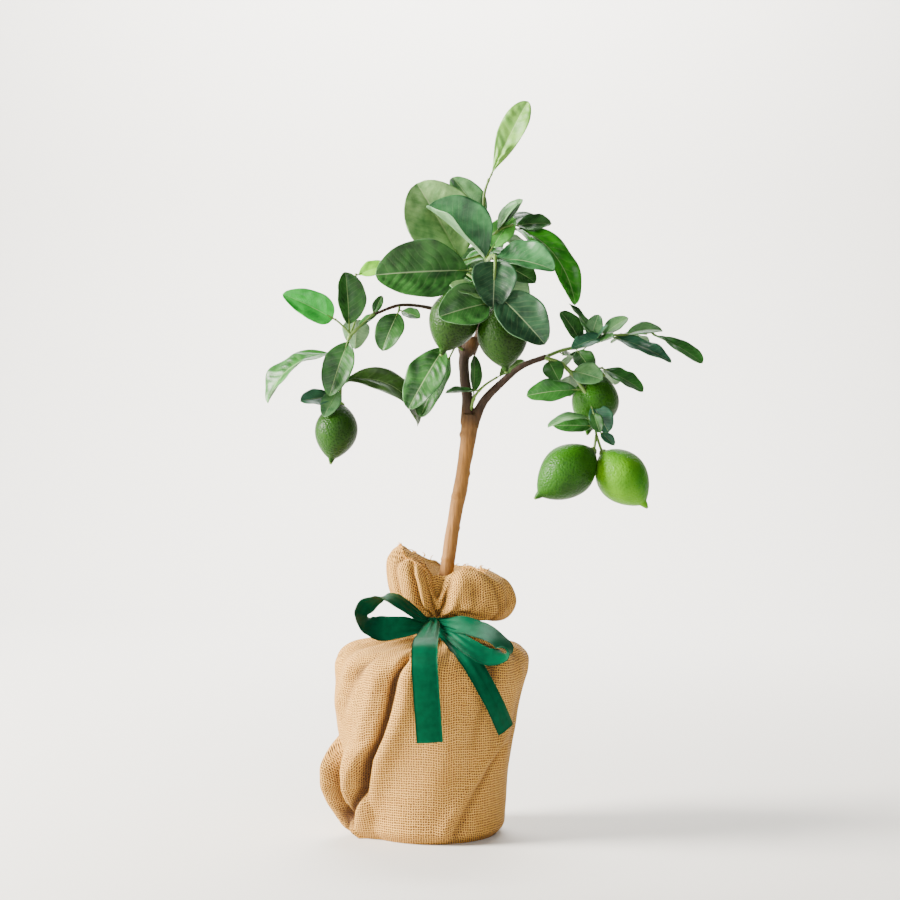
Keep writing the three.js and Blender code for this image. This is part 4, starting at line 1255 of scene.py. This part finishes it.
def grow_foliage():
    """All sprays: leaves, twigs and limes, each kind joined for each spray."""
    skins = [leaf_material(name, *looks) for name, looks in LEAF_COLOURS.items()]
    twig_skin = twig_material()
    rinds = [rind_material(name, *colours) for name, colours in RIND_COLOURS.items()]
    for spray in ("crown", "left", "right"):
        leaves, twigs, limes = Stock(), Stock(), Stock()
        masses = [mass for mass in MASSES if mass["spray"] == spray]
        nodes = [mass["node"] for mass in masses]
        random = seeded(211)
        for mass in masses:
            lines = twig_lines(mass)
            blades = named_leaves(mass, lines) + fill_leaves(mass, lines)
            for leaf in blades:
                add_leaf(leaves, leaf, random)
                add_stalk(twigs, leaf)
            for twig, line in zip(mass["twigs"], lines):
                at = [row[1] for row in twig.get("leaves", [])]
                add_twig(twigs, line, twig["radii"], at)
            for fruit in fruit_of(mass):
                add_fruit(limes, fruit, list(RIND_COLOURS).index(fruit["rind"]), random)
                add_fruit_stalk(twigs, fruit, lines[0])
        pieces = [
            leaves.piece("leaves_" + spray, skins, "leaf"),
            twigs.piece("twigs_" + spray, [twig_skin]),
            limes.piece("limes_" + spray, rinds, None, "painted_lit_side"),
        ]
        for piece in pieces:
            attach(piece, "root")
            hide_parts(*nodes)


# Trunk and boughs

BARK_VOXEL = 0.65
# How many sides each limb is made with, and how far its foot runs down into what carries it.
LIMB_SIDES = (32, 28, 24, 24, 20)
LIMB_FEET = (14, 4, 4, 4, 2)


def add_limb(stock, stations, sides, foot):
    """One limb as a closed round body."""
    places = [np.array(station[:3], float) for station in stations]
    places[0] = places[0] - np.array([0, 0, foot])
    steps = int(line_length(places) / 1.5)
    stock.add(*tube(places, taper([station[3] for station in stations]), sides, steps))


def melted(piece, voxel):
    """Joins the piece's overlapping closed bodies into one even skin."""
    remesh = piece.modifiers.new("melt", "REMESH")
    remesh.mode = "VOXEL"
    remesh.voxel_size = voxel * MM
    smooth = piece.modifiers.new("ease", "SMOOTH")
    smooth.iterations = 6
    smooth.factor = 0.5
    shown = piece.evaluated_get(bpy.context.evaluated_depsgraph_get())
    mesh = bpy.data.meshes.new_from_object(shown)
    piece.modifiers.clear()
    piece.data = mesh
    return piece


def bark_relief(x, y, z):
    """How far the bark stands out at a place: long low ribs, a few lumps and fine cracks."""
    ribs = noise.noise(Vector((x * 0.42, y * 0.42, z * 0.035)))
    lumps = noise.noise(Vector((x * 0.09, y * 0.09, z * 0.06)) + Vector((7, 3, 5)))
    cracks = noise.noise(Vector((x * 1.1, y * 1.1, z * 0.12)) + Vector((2, 9, 4)))
    return 0.34 * ribs + 0.5 * lumps + 0.16 * cracks


# Old leaf scars and side buds on the trunk: height, bearing and how far they stand out. Each is
# a few mm tall and reaches some way round.
SCAR_TALL = 2.6
SCAR_ROUND = 38
BARK_SCARS = [
    (236, 300, 1.1),
    (262, 210, 0.9),
    (291, 20, 1.0),
    (322, 225, 1.6),
    (343, 330, 1.1),
    (381, 200, 1.5),
    (388, 320, 1.4),
]


def make_wood():
    """Trunk and boughs in one skin, with relief, scars and the change from old wood to young."""
    stock = Stock()
    for stations, sides, foot in zip(LIMBS, LIMB_SIDES, LIMB_FEET):
        add_limb(stock, stations, sides, foot)
    wood = melted(stock.piece("trunk_and_boughs", [bark_material()]), BARK_VOXEL)
    mesh = wood.data
    places = np.empty(3 * len(mesh.vertices))
    normals = np.empty(3 * len(mesh.vertices))
    mesh.vertices.foreach_get("co", places)
    mesh.vertex_normals.foreach_get("vector", normals)
    places, normals = places.reshape(-1, 3) / MM, normals.reshape(-1, 3)
    trunk = [np.array(station[:3], float) for station in TRUNK_STATIONS]
    outs, youth = [], []
    for x, y, z in places:
        out = bark_relief(x, y, z)
        for height, turn, reach in BARK_SCARS:
            if abs(z - height) < 8:
                centre = line_point(trunk, (z - trunk[0][2]) / (trunk[-1][2] - trunk[0][2]))
                around = turn_apart(math.degrees(math.atan2(y - centre[1], x - centre[0])), turn)
                out += reach * math.exp(-((z - height) / SCAR_TALL) ** 2 - (around / SCAR_ROUND) ** 2)
        outs.append(out * (1 - 0.6 * float(smoothstep(z, 430, 500))))
        # The wood darkens through the fork, along an uneven line; the cut stub is a little paler.
        blur = 5 * noise.noise(Vector((x, y, z)) * 0.12)
        young = float(smoothstep(z + 0.5 * (x - 37) + blur, 356, 414))
        stub = math.exp(-((x - 38) / 8) ** 2 - ((z - 469) / 9) ** 2)
        youth.append(young * (1 - 0.35 * stub))
    places += normals * np.array(outs)[:, None]
    mesh.vertices.foreach_set("co", (places * MM).ravel())
    mesh.update()
    attribute = mesh.attributes.new("young_wood", "FLOAT", "POINT")
    attribute.data.foreach_set("value", youth)
    mesh.polygons.foreach_set("use_smooth", [True] * len(mesh.polygons))
    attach(wood, "root")
    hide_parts("trunk", "bough_leader", "bough_crown", "bough_right", "bough_left")


# Sack and ruff

SACK_COLUMNS = 480
SACK_ROWS = 230
# The cloth's own coordinates start and end at this bearing, at the back.
CLOTH_SEAM = 90
# How deep the gap behind the loose fold is.
FLAP_GAP = 15

# The long crease and the ridge beside it: height and bearing along each.
MAIN_CREASE = [
    (14, 204),
    (24, 208),
    (40, 215),
    (57, 220),
    (78, 225),
    (100, 234),
    (125, 241),
    (146, 246),
    (176, 254),
]
MAIN_RIDGE = [
    (10, 213),
    (24, 218),
    (57, 228),
    (78, 234),
    (100, 243),
    (125, 251),
    (146, 256),
    (176, 262),
]
# Creases and ridges in the sack: depth, width in mm, then height and bearing along each.
SACK_FOLDS = [
    (-7.5, 4.0, MAIN_CREASE),
    (4.0, 9.0, MAIN_RIDGE),
    (3.0, 9.0, [(40, 208), (78, 213), (100, 221), (125, 228), (146, 234), (176, 246)]),
    (-2.6, 7.0, [(120, 207), (150, 216), (176, 232), (184, 240)]),
    (2.4, 8.0, [(120, 198), (150, 206), (176, 222)]),
    (-3.4, 8.0, [(0, 286), (24, 294), (48, 305), (70, 320), (90, 338)]),
    (3.0, 8.0, [(0, 276), (24, 285), (48, 297), (70, 311), (90, 328)]),
    (-2.2, 8.0, [(90, 300), (120, 304), (150, 310), (176, 304)]),
    (-2.4, 8.0, [(80, 352), (120, 350), (150, 346), (176, 335)]),
    (2.0, 10.0, [(60, 338), (120, 334), (150, 330)]),
    (-2.4, 9.0, [(70, 40), (120, 34), (150, 30), (176, 26)]),
    (-2.8, 9.0, [(40, 92), (100, 84), (150, 80), (176, 76)]),
    (-2.4, 9.0, [(70, 140), (120, 134), (150, 130), (176, 128)]),
]
# Gathers that run out from the tie over the top of the sack.
NECK_PLEATS = 17
PLEAT_DEPTH = 4.6


def sack_outline():
    """The sack's outline as rows of radius and height, evenly spaced along the cloth."""
    profile = [np.array([radius, height], float) for radius, height in SACK_PROFILE]
    marks = [line_point(profile, i / SACK_ROWS) for i in range(SACK_ROWS + 1)]
    lengths = np.concatenate([[0], np.cumsum(np.linalg.norm(np.diff(marks, axis=0), axis=1))])
    even = np.linspace(0, lengths[-1], SACK_ROWS + 1)
    radius = np.interp(even, lengths, [m[0] for m in marks])
    height = np.interp(even, lengths, [m[1] for m in marks])
    return radius, height


def flap_out(turns, height):
    """The loose fold: it swells from behind to its edge and drops inside to the puffed front cloth."""
    centre = smooth_between(FLAP_STATIONS, height, 1)
    out = smooth_between(FLAP_STATIONS, height, 2)
    crease = between(MAIN_CREASE, height, 1)
    apart = turn_apart(turns, centre)
    ridge = out * np.where(apart < 0, np.exp(-((apart / 17) ** 2)), np.exp(-((apart / 5) ** 2)))
    gap = flap_gap(centre, crease)
    front = 0.56 * out * smoothstep(apart, gap - 2, gap + 3)
    # Near the floor the front cloth runs on past the crease.
    run_on = 13 * (1 - smoothstep(height, 20, 52))
    reach = crease - centre
    front = front * (1 - smoothstep(apart, reach - 7 + run_on / 2, reach + 5 + run_on))
    return np.maximum(ridge, front) - FLAP_GAP * flap_hollow(turns, height)


def flap_gap(centre, crease):
    """How far round from the fold's edge the gap behind it lies."""
    return min(9, 0.6 * float(crease - centre))


def flap_hollow(turns, height):
    """How deep in the gap between the loose fold and the front cloth a place is, from 0 to 1."""
    centre = smooth_between(FLAP_STATIONS, height, 1)
    crease = between(MAIN_CREASE, height, 1)
    apart = turn_apart(turns, centre + flap_gap(centre, crease) - 3.5)
    return (1 - smoothstep(height, 56, 82)) * np.exp(-((apart / 3.6) ** 2))


def sack_swell(turns, height):
    """How far the cloth stands out from the sack's round outline: fold, slack and slow ripples."""
    below_top = 1 - smoothstep(height, SHOULDER_HEIGHT - 40, SHOULDER_HEIGHT + 4)
    loose = smoothstep(height, 15, 85) * below_top
    slack = SLACK_OUT * np.exp(-((turn_apart(turns, SLACK_BEARING) / SLACK_WIDTH) ** 2)) * loose
    ripple = 1.5 * np.cos(np.radians(5 * turns)) * loose
    return np.maximum(flap_out(turns, height), slack) + ripple


def fold_depth(turns, height, radius):
    """All creases and ridges that cross a height."""
    depth = np.zeros_like(turns)
    for reach, width, run in SACK_FOLDS:
        low, high = run[0][0], run[-1][0]
        if not low - 12 < height < high + 12:
            continue
        centre = between(run, height, 1)
        fade = smoothstep(height, low - 12, low + 10) * (1 - smoothstep(height, high - 4, high + 12))
        apart = np.radians(turn_apart(turns, centre)) * radius
        depth += reach * fade * np.exp(-((apart / width) ** 2))
    return depth


def cloth_places(grid, corners):
    """Each corner's place on the cloth in centimetres, by true length round and along it."""
    closed = np.concatenate([grid, grid[:, :1]], axis=1)
    around = np.linalg.norm(np.diff(closed, axis=1), axis=2).cumsum(axis=1)
    around = np.concatenate([np.zeros((len(grid), 1)), around], axis=1)
    around -= around[:, [closed.shape[1] // 2]]
    along = np.linalg.norm(np.diff(closed, axis=0), axis=2).cumsum(axis=0)
    along = np.concatenate([np.zeros((1, closed.shape[1])), along])
    return [(around[i, j] / 10, along[i, j] / 10) for i, j in corners]


def make_sack(cloth):
    """The root ball in its sack, closed under its foot and inside its neck."""
    radius, height = sack_outline()
    turns = np.linspace(CLOTH_SEAM, CLOTH_SEAM + 360, SACK_COLUMNS, endpoint=False)
    angles = np.radians(turns)
    neck = smoothstep(height, SHOULDER_HEIGHT, NECK_HEIGHT - 18)
    rows, creased = [], []
    slope = np.gradient(np.column_stack([radius, height]), axis=0)
    slope /= np.linalg.norm(slope, axis=1, keepdims=True)
    pleats = pleats_round(NECK_PLEATS, 14, 0.7, 0.6, seeded(5))
    for i in range(SACK_ROWS + 1):
        out = radius[i] + sack_swell(turns, height[i]) * (1 - neck[i])
        folds = fold_depth(turns, height[i], out)
        # Gathers: deepest on the top of the sack, faded out below the shoulder and at the band.
        gather = float(smoothstep(height[i], 120, 174)) * (1 - float(smoothstep(height[i], 185, 191)))
        width = 4 + 3.5 * (radius[i] / SHOULDER_RADIUS)
        gathers = np.zeros(SACK_COLUMNS)
        for turn, strength in pleats:
            swing = turn + 10 * (1 - radius[i] / SHOULDER_RADIUS)
            apart = turn_apart(turns, swing) / width
            gathers += strength * np.exp(-(apart ** 2))
        folds += PLEAT_DEPTH * gather * (gathers - gathers.mean())
        lumps = np.array([
            noise.noise(Vector((math.cos(a) * 2.2, math.sin(a) * 2.2, height[i] * 0.024)))
            for a in angles
        ])
        wander = 1.8 * lumps * (1 - neck[i]) * float(smoothstep(height[i], 2, 30))
        push = (folds + wander) * float(smoothstep(height[i], 0, 14))
        # Painted shade for the cloth: deepest in the gap behind the loose fold and in the creases.
        hollow = np.maximum(flap_hollow(turns, height[i]), -folds / 6)
        creased.extend(np.clip(1.4 * hollow - 0.25, 0, 0.9))
        normal_out, normal_up = slope[i][1], -slope[i][0]
        level = out + push * normal_out
        rows.append(np.column_stack([
            NECK_X * neck[i] + level * np.cos(angles),
            level * np.sin(angles),
            np.maximum(height[i] + push * normal_up, 0.0),
        ]))
    stock = Stock()
    faces, corners = grid_faces(SACK_ROWS + 1, SACK_COLUMNS, closed=True)
    uvs = cloth_places(np.array(rows), corners)
    # Fans of faces close the foot and the neck.
    foot, top = len(rows) * SACK_COLUMNS, len(rows) * SACK_COLUMNS + 1
    for j in range(SACK_COLUMNS):
        k = (j + 1) % SACK_COLUMNS
        faces.append([foot, k, j])
        uvs.extend([(0, 0), (0.1, 0), (0, 0.1)])
        faces.append([top, SACK_ROWS * SACK_COLUMNS + j, SACK_ROWS * SACK_COLUMNS + k])
        uvs.extend([(0, 0), (0.1, 0), (0, 0.1)])
    points = np.concatenate(rows + [[[0, 0, 0]], [[NECK_X, 0, NECK_HEIGHT]]])
    stock.add(points, faces, 0, uvs, creased + [0.0, 0.0])
    sack = stock.piece("hessian_sack", [cloth], "cloth", "creased")
    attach(sack, "root")
    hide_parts("root_ball_sack")


RUFF_COLUMNS = 420
RUFF_ROWS = 120
RUFF_PLEATS = 16
RUFF_PLEAT_DEPTH = 3.6

# Deeper creases of the ruff: depth, width in degrees, then share of the way and bearing along each.
RUFF_FOLDS = [
    (-5.0, 4.0, [(0.5, 221), (0.6, 234), (0.7, 241), (0.85, 258)]),
    (2.5, 5.0, [(0.5, 229), (0.6, 245), (0.7, 252), (0.85, 264)]),
    (-4.5, 4.0, [(0.5, 238), (0.6, 257), (0.7, 264), (0.9, 270)]),
    (-6.0, 5.0, [(0.5, 300), (0.6, 289), (0.7, 280), (0.9, 272)]),
    (3.5, 8.0, [(0.5, 310), (0.6, 300), (0.7, 292), (0.9, 280)]),
    (-2.4, 3.0, [(0.72, 302), (0.85, 290)]),
    (-2.2, 3.0, [(0.68, 318), (0.85, 302)]),
    (-4.0, 3.5, [(0.5, 331), (0.6, 337), (0.7, 341), (0.8, 343)]),
    (-5.0, 6.0, [(0.36, 205), (0.6, 203), (0.8, 214), (1.0, 225)]),
    (-5.0, 7.0, [(0.36, 150), (0.6, 145), (1.0, 140)]),
    (-5.0, 7.0, [(0.36, 85), (0.6, 82), (1.0, 86)]),
    (-5.0, 7.0, [(0.36, 28), (0.6, 34), (1.0, 30)]),
]

# Hollows pressed into the right of the ruff: depth, share of the way out, bearing and their spreads.
RUFF_HOLLOWS = [
    (5.5, 0.78, 316, 0.03, 13),
    (4.5, 0.66, 349, 0.05, 6),
    (3.0, 0.62, 318, 0.05, 7),
]


def seen_front(turn):
    """From 1 at the front of the ruff, where its folds are drawn one by one, to 0 at its back."""
    return float(smoothstep(turn, 188, 214) * (1 - smoothstep(turn, 326, 350)))


# Loose yarn ends at the raw edge: how many, then the bearings they lie between.
FRINGES = [(30, 176, 240), (16, 300, 356), (18, 20, 150)]
# The raw edge's share of the way from the inside of the ruff to its foot.
RAW_EDGE = 0.46
# The middle of a yarn on the cloth's own coordinates, half a thread from where they start, in
# centimetres: a loose end takes its colour there, clear of the holes.
YARN_MIDDLE = THREAD_SPACING / 2 / 10


def add_fringe(stock, grid):
    """Frayed yarn ends that stand up from the raw edge of the sack's mouth."""
    random = seeded(29)
    crest = grid[int(RAW_EDGE * RUFF_ROWS)]
    for count, low, high in FRINGES:
        for _ in range(count):
            turn = low + (high - low) * next(random)
            start = crest[int((turn - CLOTH_SEAM) % 360 / 360 * RUFF_COLUMNS) % RUFF_COLUMNS]
            lean = bearing(turn + 150 * (next(random) - 0.5), 30 + 45 * next(random))
            droop = bearing(turn + 200 * (next(random) - 0.5), -20 * next(random))
            long = 2.5 + 4.5 * next(random) ** 2
            end = start + lean * long * 0.8 + droop * long * 0.4
            line = [start - lean * 1.5, start + lean * long * 0.5, end]
            points, faces = tube(line, taper([0.5, 0.42, 0.25]), 6, 8)
            corners = sum(len(face) for face in faces)
            stock.add(points, faces, 0, [(YARN_MIDDLE, YARN_MIDDLE)] * corners)


def make_ruff(cloth):
    """The gathered mouth of the sack, bellying out over the tie and turning in round the trunk."""
    stations = [(row[0] - 360, *row[1:]) for row in RUFF_STATIONS[-3:]]
    stations += RUFF_STATIONS
    stations += [(row[0] + 360, *row[1:]) for row in RUFF_STATIONS[:3]]
    foot = NECK_HEIGHT + 0.3
    pleats = pleats_round(RUFF_PLEATS, 16, 0.6, 0.8, seeded(11))
    share = np.linspace(0, 1, RUFF_ROWS + 1)
    spread = np.sin(math.pi * share) ** 0.6 * (0.75 + 0.45 * smoothstep(share, 0.45, 0.9))
    columns, creased = [], []
    for j in range(RUFF_COLUMNS):
        turn = (CLOTH_SEAM + 360 * j / RUFF_COLUMNS) % 360
        belly, belly_z, crest, crest_z, under = (between(stations, turn, c) for c in (1, 2, 3, 4, 5))
        inner = max(crest_z - 14, 246)
        # From the foot inside, up round the trunk, over the crest, down the belly and in to the tie.
        profile = [
            (RUFF_HOLE - 3.5, foot - 6),
            (RUFF_HOLE - 1.5, foot + 8),
            (RUFF_HOLE, inner - 4),
            (RUFF_HOLE + 2, inner),
            (max(crest - 6, RUFF_HOLE + 3.6), crest_z - 3),
            (max(crest - 2, RUFF_HOLE + 4.2), crest_z),
            (crest + 2.5, crest_z),
            ((crest + belly) / 2 + 6, crest_z * 0.68 + belly_z * 0.32),
            (belly, belly_z),
            (belly * 0.86 + NECK_RADIUS * 0.14, under + 4),
            (belly * 0.6 + NECK_RADIUS * 0.4, under),
            (NECK_RADIUS + 3, foot),
            (NECK_RADIUS - 1, foot - 2),
        ]
        profile = [np.array(p, float) for p in profile]
        marks = np.array([line_point(profile, i / RUFF_ROWS) for i in range(RUFF_ROWS + 1)])
        slope = np.gradient(marks, axis=0)
        slope /= np.linalg.norm(slope, axis=1, keepdims=True)
        normal = np.column_stack([-slope[:, 1], slope[:, 0]])
        depth = np.zeros(RUFF_ROWS + 1)
        # Even pleats, weak at the front, where the folds are drawn one by one.
        even = (1 - 0.85 * seen_front(turn)) * (0.4 + 0.6 * smoothstep(share, 0.5, 0.78))
        for middle, strength in pleats:
            apart = turn_apart(turn, middle + 7 * np.sin(4 * share + middle)) / 6.5
            depth += RUFF_PLEAT_DEPTH * strength * even * np.exp(-(apart ** 2))
        for reach, width, run in RUFF_FOLDS:
            middle = between(run, share, 1)
            fade = smoothstep(share, run[0][0] - 0.12, run[0][0] + 0.1)
            depth += reach * fade * np.exp(-((turn_apart(turn, middle) / width) ** 2))
        for reach, at, middle, tall, width in RUFF_HOLLOWS:
            apart = turn_apart(turn, middle) / width
            depth -= reach * np.exp(-(((share - at) / tall) ** 2) - apart ** 2)
        angle = math.radians(turn)
        lumps = np.array([
            noise.noise(Vector((math.cos(angle) * 1.6, math.sin(angle) * 1.6, 4 * s)))
            for s in share
        ])
        marks = marks + normal * ((depth - 3.0 * even + 2.6 * lumps) * spread)[:, None]
        # Painted shade in the ruff's deeper creases and hollows.
        creased.append(np.clip((-1.5 - depth) / 6, 0, 0.7))
        columns.append(np.column_stack([
            NECK_X + marks[:, 0] * math.cos(angle),
            marks[:, 0] * math.sin(angle),
            marks[:, 1],
        ]))
    grid = np.array(columns).transpose(1, 0, 2)
    stock = Stock()
    faces, corners = grid_faces(RUFF_ROWS + 1, RUFF_COLUMNS, closed=True)
    # The profile's two ends are joined into a closed ring.
    top = RUFF_ROWS * RUFF_COLUMNS
    for j in range(RUFF_COLUMNS):
        k = (j + 1) % RUFF_COLUMNS
        faces.append([top + j, top + k, k, j])
        corners.extend([(RUFF_ROWS, j), (RUFF_ROWS, j + 1), (0, j + 1), (0, j)])
    stock.add(grid.reshape(-1, 3), faces, 0, cloth_places(grid, corners), np.array(creased).T.ravel())
    add_fringe(stock, grid)
    ruff = stock.piece("hessian_ruff", [cloth], "cloth", "creased")
    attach(ruff, "root")
    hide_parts("sack_ruff")


# Ribbon

# Faces across the ribbon, and the depth of the crumples where it is drawn in to nothing.
RIBBON_CELLS = 12
CRUMPLE_DEPTH = 1.6


def ribbon_strip(stations, steps, cup):
    """A flat ribbon along a smooth line, cupped a little across its width."""
    places = [np.array(station[:3], float) for station in stations]
    last = len(stations) - 1
    grid = []
    for i in range(steps + 1):
        share = i / steps
        at = share * last
        k = min(int(at), last - 1)
        ease = smoothstep(at - k, 0, 1)
        width = stations[k][5] + (stations[k + 1][5] - stations[k][5]) * (at - k)
        across = bearing(*stations[k][3:5]) * (1 - ease) + bearing(*stations[k + 1][3:5]) * ease
        along = line_direction(places, share)
        across = unit(across - np.dot(across, along) * along)
        face = np.cross(across, along)
        cells = np.linspace(-1, 1, RIBBON_CELLS + 1)
        drawn = 1 - width / RIBBON_WIDTH
        crumple = drawn * CRUMPLE_DEPTH * np.sin(cells * 7.5)
        lift = cup * (cells ** 2 - 0.5) + crumple
        row = np.outer(cells * width / 2, across) + np.outer(lift, face)
        grid.append(line_point(places, share) + row)
    return np.array(grid)


def add_sheet(stock, grid, thickness):
    """A thin closed sheet from a grid of points, with its length and width in centimetres."""
    rows, columns = grid.shape[:2]
    normals = surface_normals(grid)
    front, back = grid - normals * thickness / 2, grid + normals * thickness / 2
    size = rows * columns
    faces, corners = grid_faces(rows, columns)
    other, other_corners = grid_faces(rows, columns, flip=True)
    faces += [[c + size for c in face] for face in other]
    corners += other_corners
    for a, b in rim_pairs(rows, columns):
        face = [b, a, a + size, b + size]
        faces.append(face)
        corners.extend([divmod(c % size, columns) for c in face])
    steps = np.linalg.norm(np.diff(grid[:, columns // 2], axis=0), axis=1)
    run = np.concatenate([[0], np.cumsum(steps)])
    uvs = [(run[i] / 10, j * RIBBON_WIDTH / (columns - 1) / 10) for i, j in corners]
    stock.add(np.concatenate([front.reshape(-1, 3), back.reshape(-1, 3)]), faces, 0, uvs)


# Each length of ribbon: its name and node, its stations, its steps, and how far it is cupped.
RIBBON_LENGTHS = [
    ("satin_loop_left", "ribbon_loop_left", RIBBON_LOOP_LEFT, 90, 1.2),
    ("satin_loop_right", "ribbon_loop_right", RIBBON_LOOP_RIGHT, 90, -1.2),
    ("satin_tail_front", "ribbon_tail_front", RIBBON_TAIL_FRONT, 80, 0.9),
    ("satin_tail_right", "ribbon_tail_right", RIBBON_TAIL_RIGHT, 80, 0.9),
]


def make_ribbon(satin):
    """The bow: loops and tails, the band round the neck and the knot in front of it."""
    for name, node, stations, steps, cup in RIBBON_LENGTHS:
        stock = Stock()
        add_sheet(stock, ribbon_strip(stations, steps, cup), RIBBON_THICKNESS)
        piece = stock.piece(name, [satin], "ribbon")
        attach(piece, "root")
        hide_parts(node)
    make_band(satin)
    make_knot(satin)


BAND_COLUMNS = 200
BAND_ROWS = 18
BAND_THICKNESS = 1.6


def make_band(satin):
    """The turns of ribbon round the neck, drawn into soft creases."""
    columns, rows = BAND_COLUMNS, BAND_ROWS
    stock = Stock()
    grid = []
    for side in (-0.5, 0.5):
        for i in range(rows + 1):
            share = i / rows
            height = BAND_MIDDLE + (share - 0.5) * BAND_HEIGHT
            for j in range(columns):
                turn = 2 * math.pi * j / columns
                crease = 0.6 * math.sin(share * 19 + 1.3 * math.sin(2 * turn)) + 0.3 * math.sin(9 * turn)
                out = NECK_RADIUS + 1.0 + crease * 0.7 + side * BAND_THICKNESS
                grid.append((NECK_X + out * math.cos(turn), out * math.sin(turn), height))
    outer = (rows + 1) * columns
    faces, corners = grid_faces(rows + 1, columns, closed=True, flip=True)
    outside, outside_corners = grid_faces(rows + 1, columns, closed=True)
    faces += [[c + outer for c in face] for face in outside]
    corners += outside_corners
    # The band's lower and upper edges.
    for i, flip in ((0, True), (rows, False)):
        for j in range(columns):
            k = (j + 1) % columns
            face = [i * columns + j, i * columns + k, outer + i * columns + k, outer + i * columns + j]
            corner = [(i, j), (i, j + 1), (i, j + 1), (i, j)]
            faces.append(face if flip else face[::-1])
            corners.extend(corner if flip else corner[::-1])
    # Each face is 0.72 mm long round the neck and 0.9 mm high.
    uvs = [(j * 0.072, i * 0.09) for i, j in corners]
    stock.add(grid, faces, 0, uvs)
    band = stock.piece("satin_band", [satin], "ribbon")
    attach(band, "root")
    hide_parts("ribbon_band")


KNOT_COLUMNS = 64
KNOT_ROWS = 32


def make_knot(satin):
    """The knot: a short roll of ribbon pulled over the middle, creased lengthwise."""
    columns, rows = KNOT_COLUMNS, KNOT_ROWS
    points = []
    for i in range(rows + 1):
        lift = -math.cos(math.pi * (0.04 + 0.92 * i / rows))
        girth = math.sqrt(max(0.0, 1 - lift * lift)) ** 0.6
        for j in range(columns):
            turn = 2 * math.pi * j / columns
            crease = 1 + 0.07 * math.sin(6 * turn + 2.2 * lift) + 0.03 * math.sin(13 * turn - lift)
            points.append((
                KNOT_CENTRE[0] + KNOT_SIZE[0] * girth * crease * math.cos(turn),
                KNOT_CENTRE[1] + KNOT_SIZE[1] * girth * crease * math.sin(turn),
                KNOT_CENTRE[2] + KNOT_SIZE[2] * lift,
            ))
    faces, corners = grid_faces(rows + 1, columns, closed=True)
    # Each face is 0.6 mm long up the knot and 0.7 mm wide round it.
    uvs = [(i * 0.06, j * 0.07) for i, j in corners]
    # Flat ends.
    for ring, flip in ((0, True), (rows, False)):
        cap = [ring * columns + j for j in range(columns)]
        faces.append(cap[::-1] if flip else cap)
        uvs.extend([(0, 0)] * columns)
    stock = Stock()
    stock.add(points, faces, 0, uvs)
    knot = stock.piece("satin_knot", [satin], "ribbon")
    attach(knot, "root")
    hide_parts("ribbon_knot")


# Stage, light and camera

# Camera, stage and lamps are placed in metres.
CAMERA_PLACE = (0.0173, -1.8, 0.366)
CAMERA_LENS = 75
FLOOR_REACH = 20
WALL_PLACE = 3.4
WALL_HEIGHT = 5
COVE_RADIUS = 1.1
COVE_STEPS = 24


def make_stage():
    """A pale floor that rises in a smooth cove to a pale wall."""
    profile = [(-FLOOR_REACH, 0.0)]
    for i in range(COVE_STEPS + 1):
        turn = math.pi / 2 * i / COVE_STEPS
        behind = WALL_PLACE - COVE_RADIUS * (1 - math.sin(turn))
        profile.append((behind, COVE_RADIUS * (1 - math.cos(turn))))
    profile.append((WALL_PLACE, WALL_HEIGHT))
    points = [(side * FLOOR_REACH, y, z) for y, z in profile for side in (-1, 1)]
    faces = [[2 * i, 2 * i + 1, 2 * i + 3, 2 * i + 2] for i in range(len(profile) - 1)]
    mesh = bpy.data.meshes.new("floor")
    mesh.from_pydata(points, [], faces)
    mesh.polygons.foreach_set("use_smooth", [True] * len(faces))
    mesh.materials.append(floor_material())
    floor = bpy.data.objects.new("floor", mesh)
    bpy.context.scene.collection.objects.link(floor)


def add_light(name, place, target, size, power, colour="#ffffff"):
    """A round soft lamp that faces its target."""
    light = bpy.data.lights.new(name, "AREA")
    light.shape = "DISK"
    light.size = size
    light.energy = power
    light.color = srgb(colour)[:3]
    lamp = bpy.data.objects.new(name, light)
    lamp.location = place
    lamp.rotation_euler = (Vector(target) - Vector(place)).to_track_quat("-Z", "Y").to_euler()
    bpy.context.scene.collection.objects.link(lamp)


def make_light():
    """A large soft lamp from the left, a weak one in front, and light on the wall behind."""
    world = bpy.data.worlds.new("soft_room")
    world.use_nodes = True
    background = world.node_tree.nodes["Background"]
    background.inputs["Color"].default_value = srgb("#f6f6f6")
    background.inputs["Strength"].default_value = 0.14
    bpy.context.scene.world = world
    middle = (0.03, 0, 0.35)
    add_light("window_key", (-2.3, -0.4, 1.25), middle, 1.2, 460, "#fffaf2")
    add_light("fill", (0.4, -2.3, 1.3), middle, 1.4, 32)
    add_light("wall_wash", (0, 1.9, 2.7), (0, WALL_PLACE, 0.7), 2.4, 400)


def make_camera():
    """A level camera straight in front, a little below the fork."""
    camera = bpy.data.cameras.new("photo_view")
    camera.lens = CAMERA_LENS
    camera.sensor_width = 36
    camera.clip_end = 200
    holder = bpy.data.objects.new("photo_view", camera)
    holder.location = CAMERA_PLACE
    holder.rotation_euler = (math.radians(90), 0, 0)
    bpy.context.scene.collection.objects.link(holder)
    bpy.context.scene.camera = holder


make_camera()
make_light()
make_stage()
hessian = hessian_material()
make_sack(hessian)
make_ruff(hessian)
make_ribbon(satin_material())
make_wood()
grow_foliage()
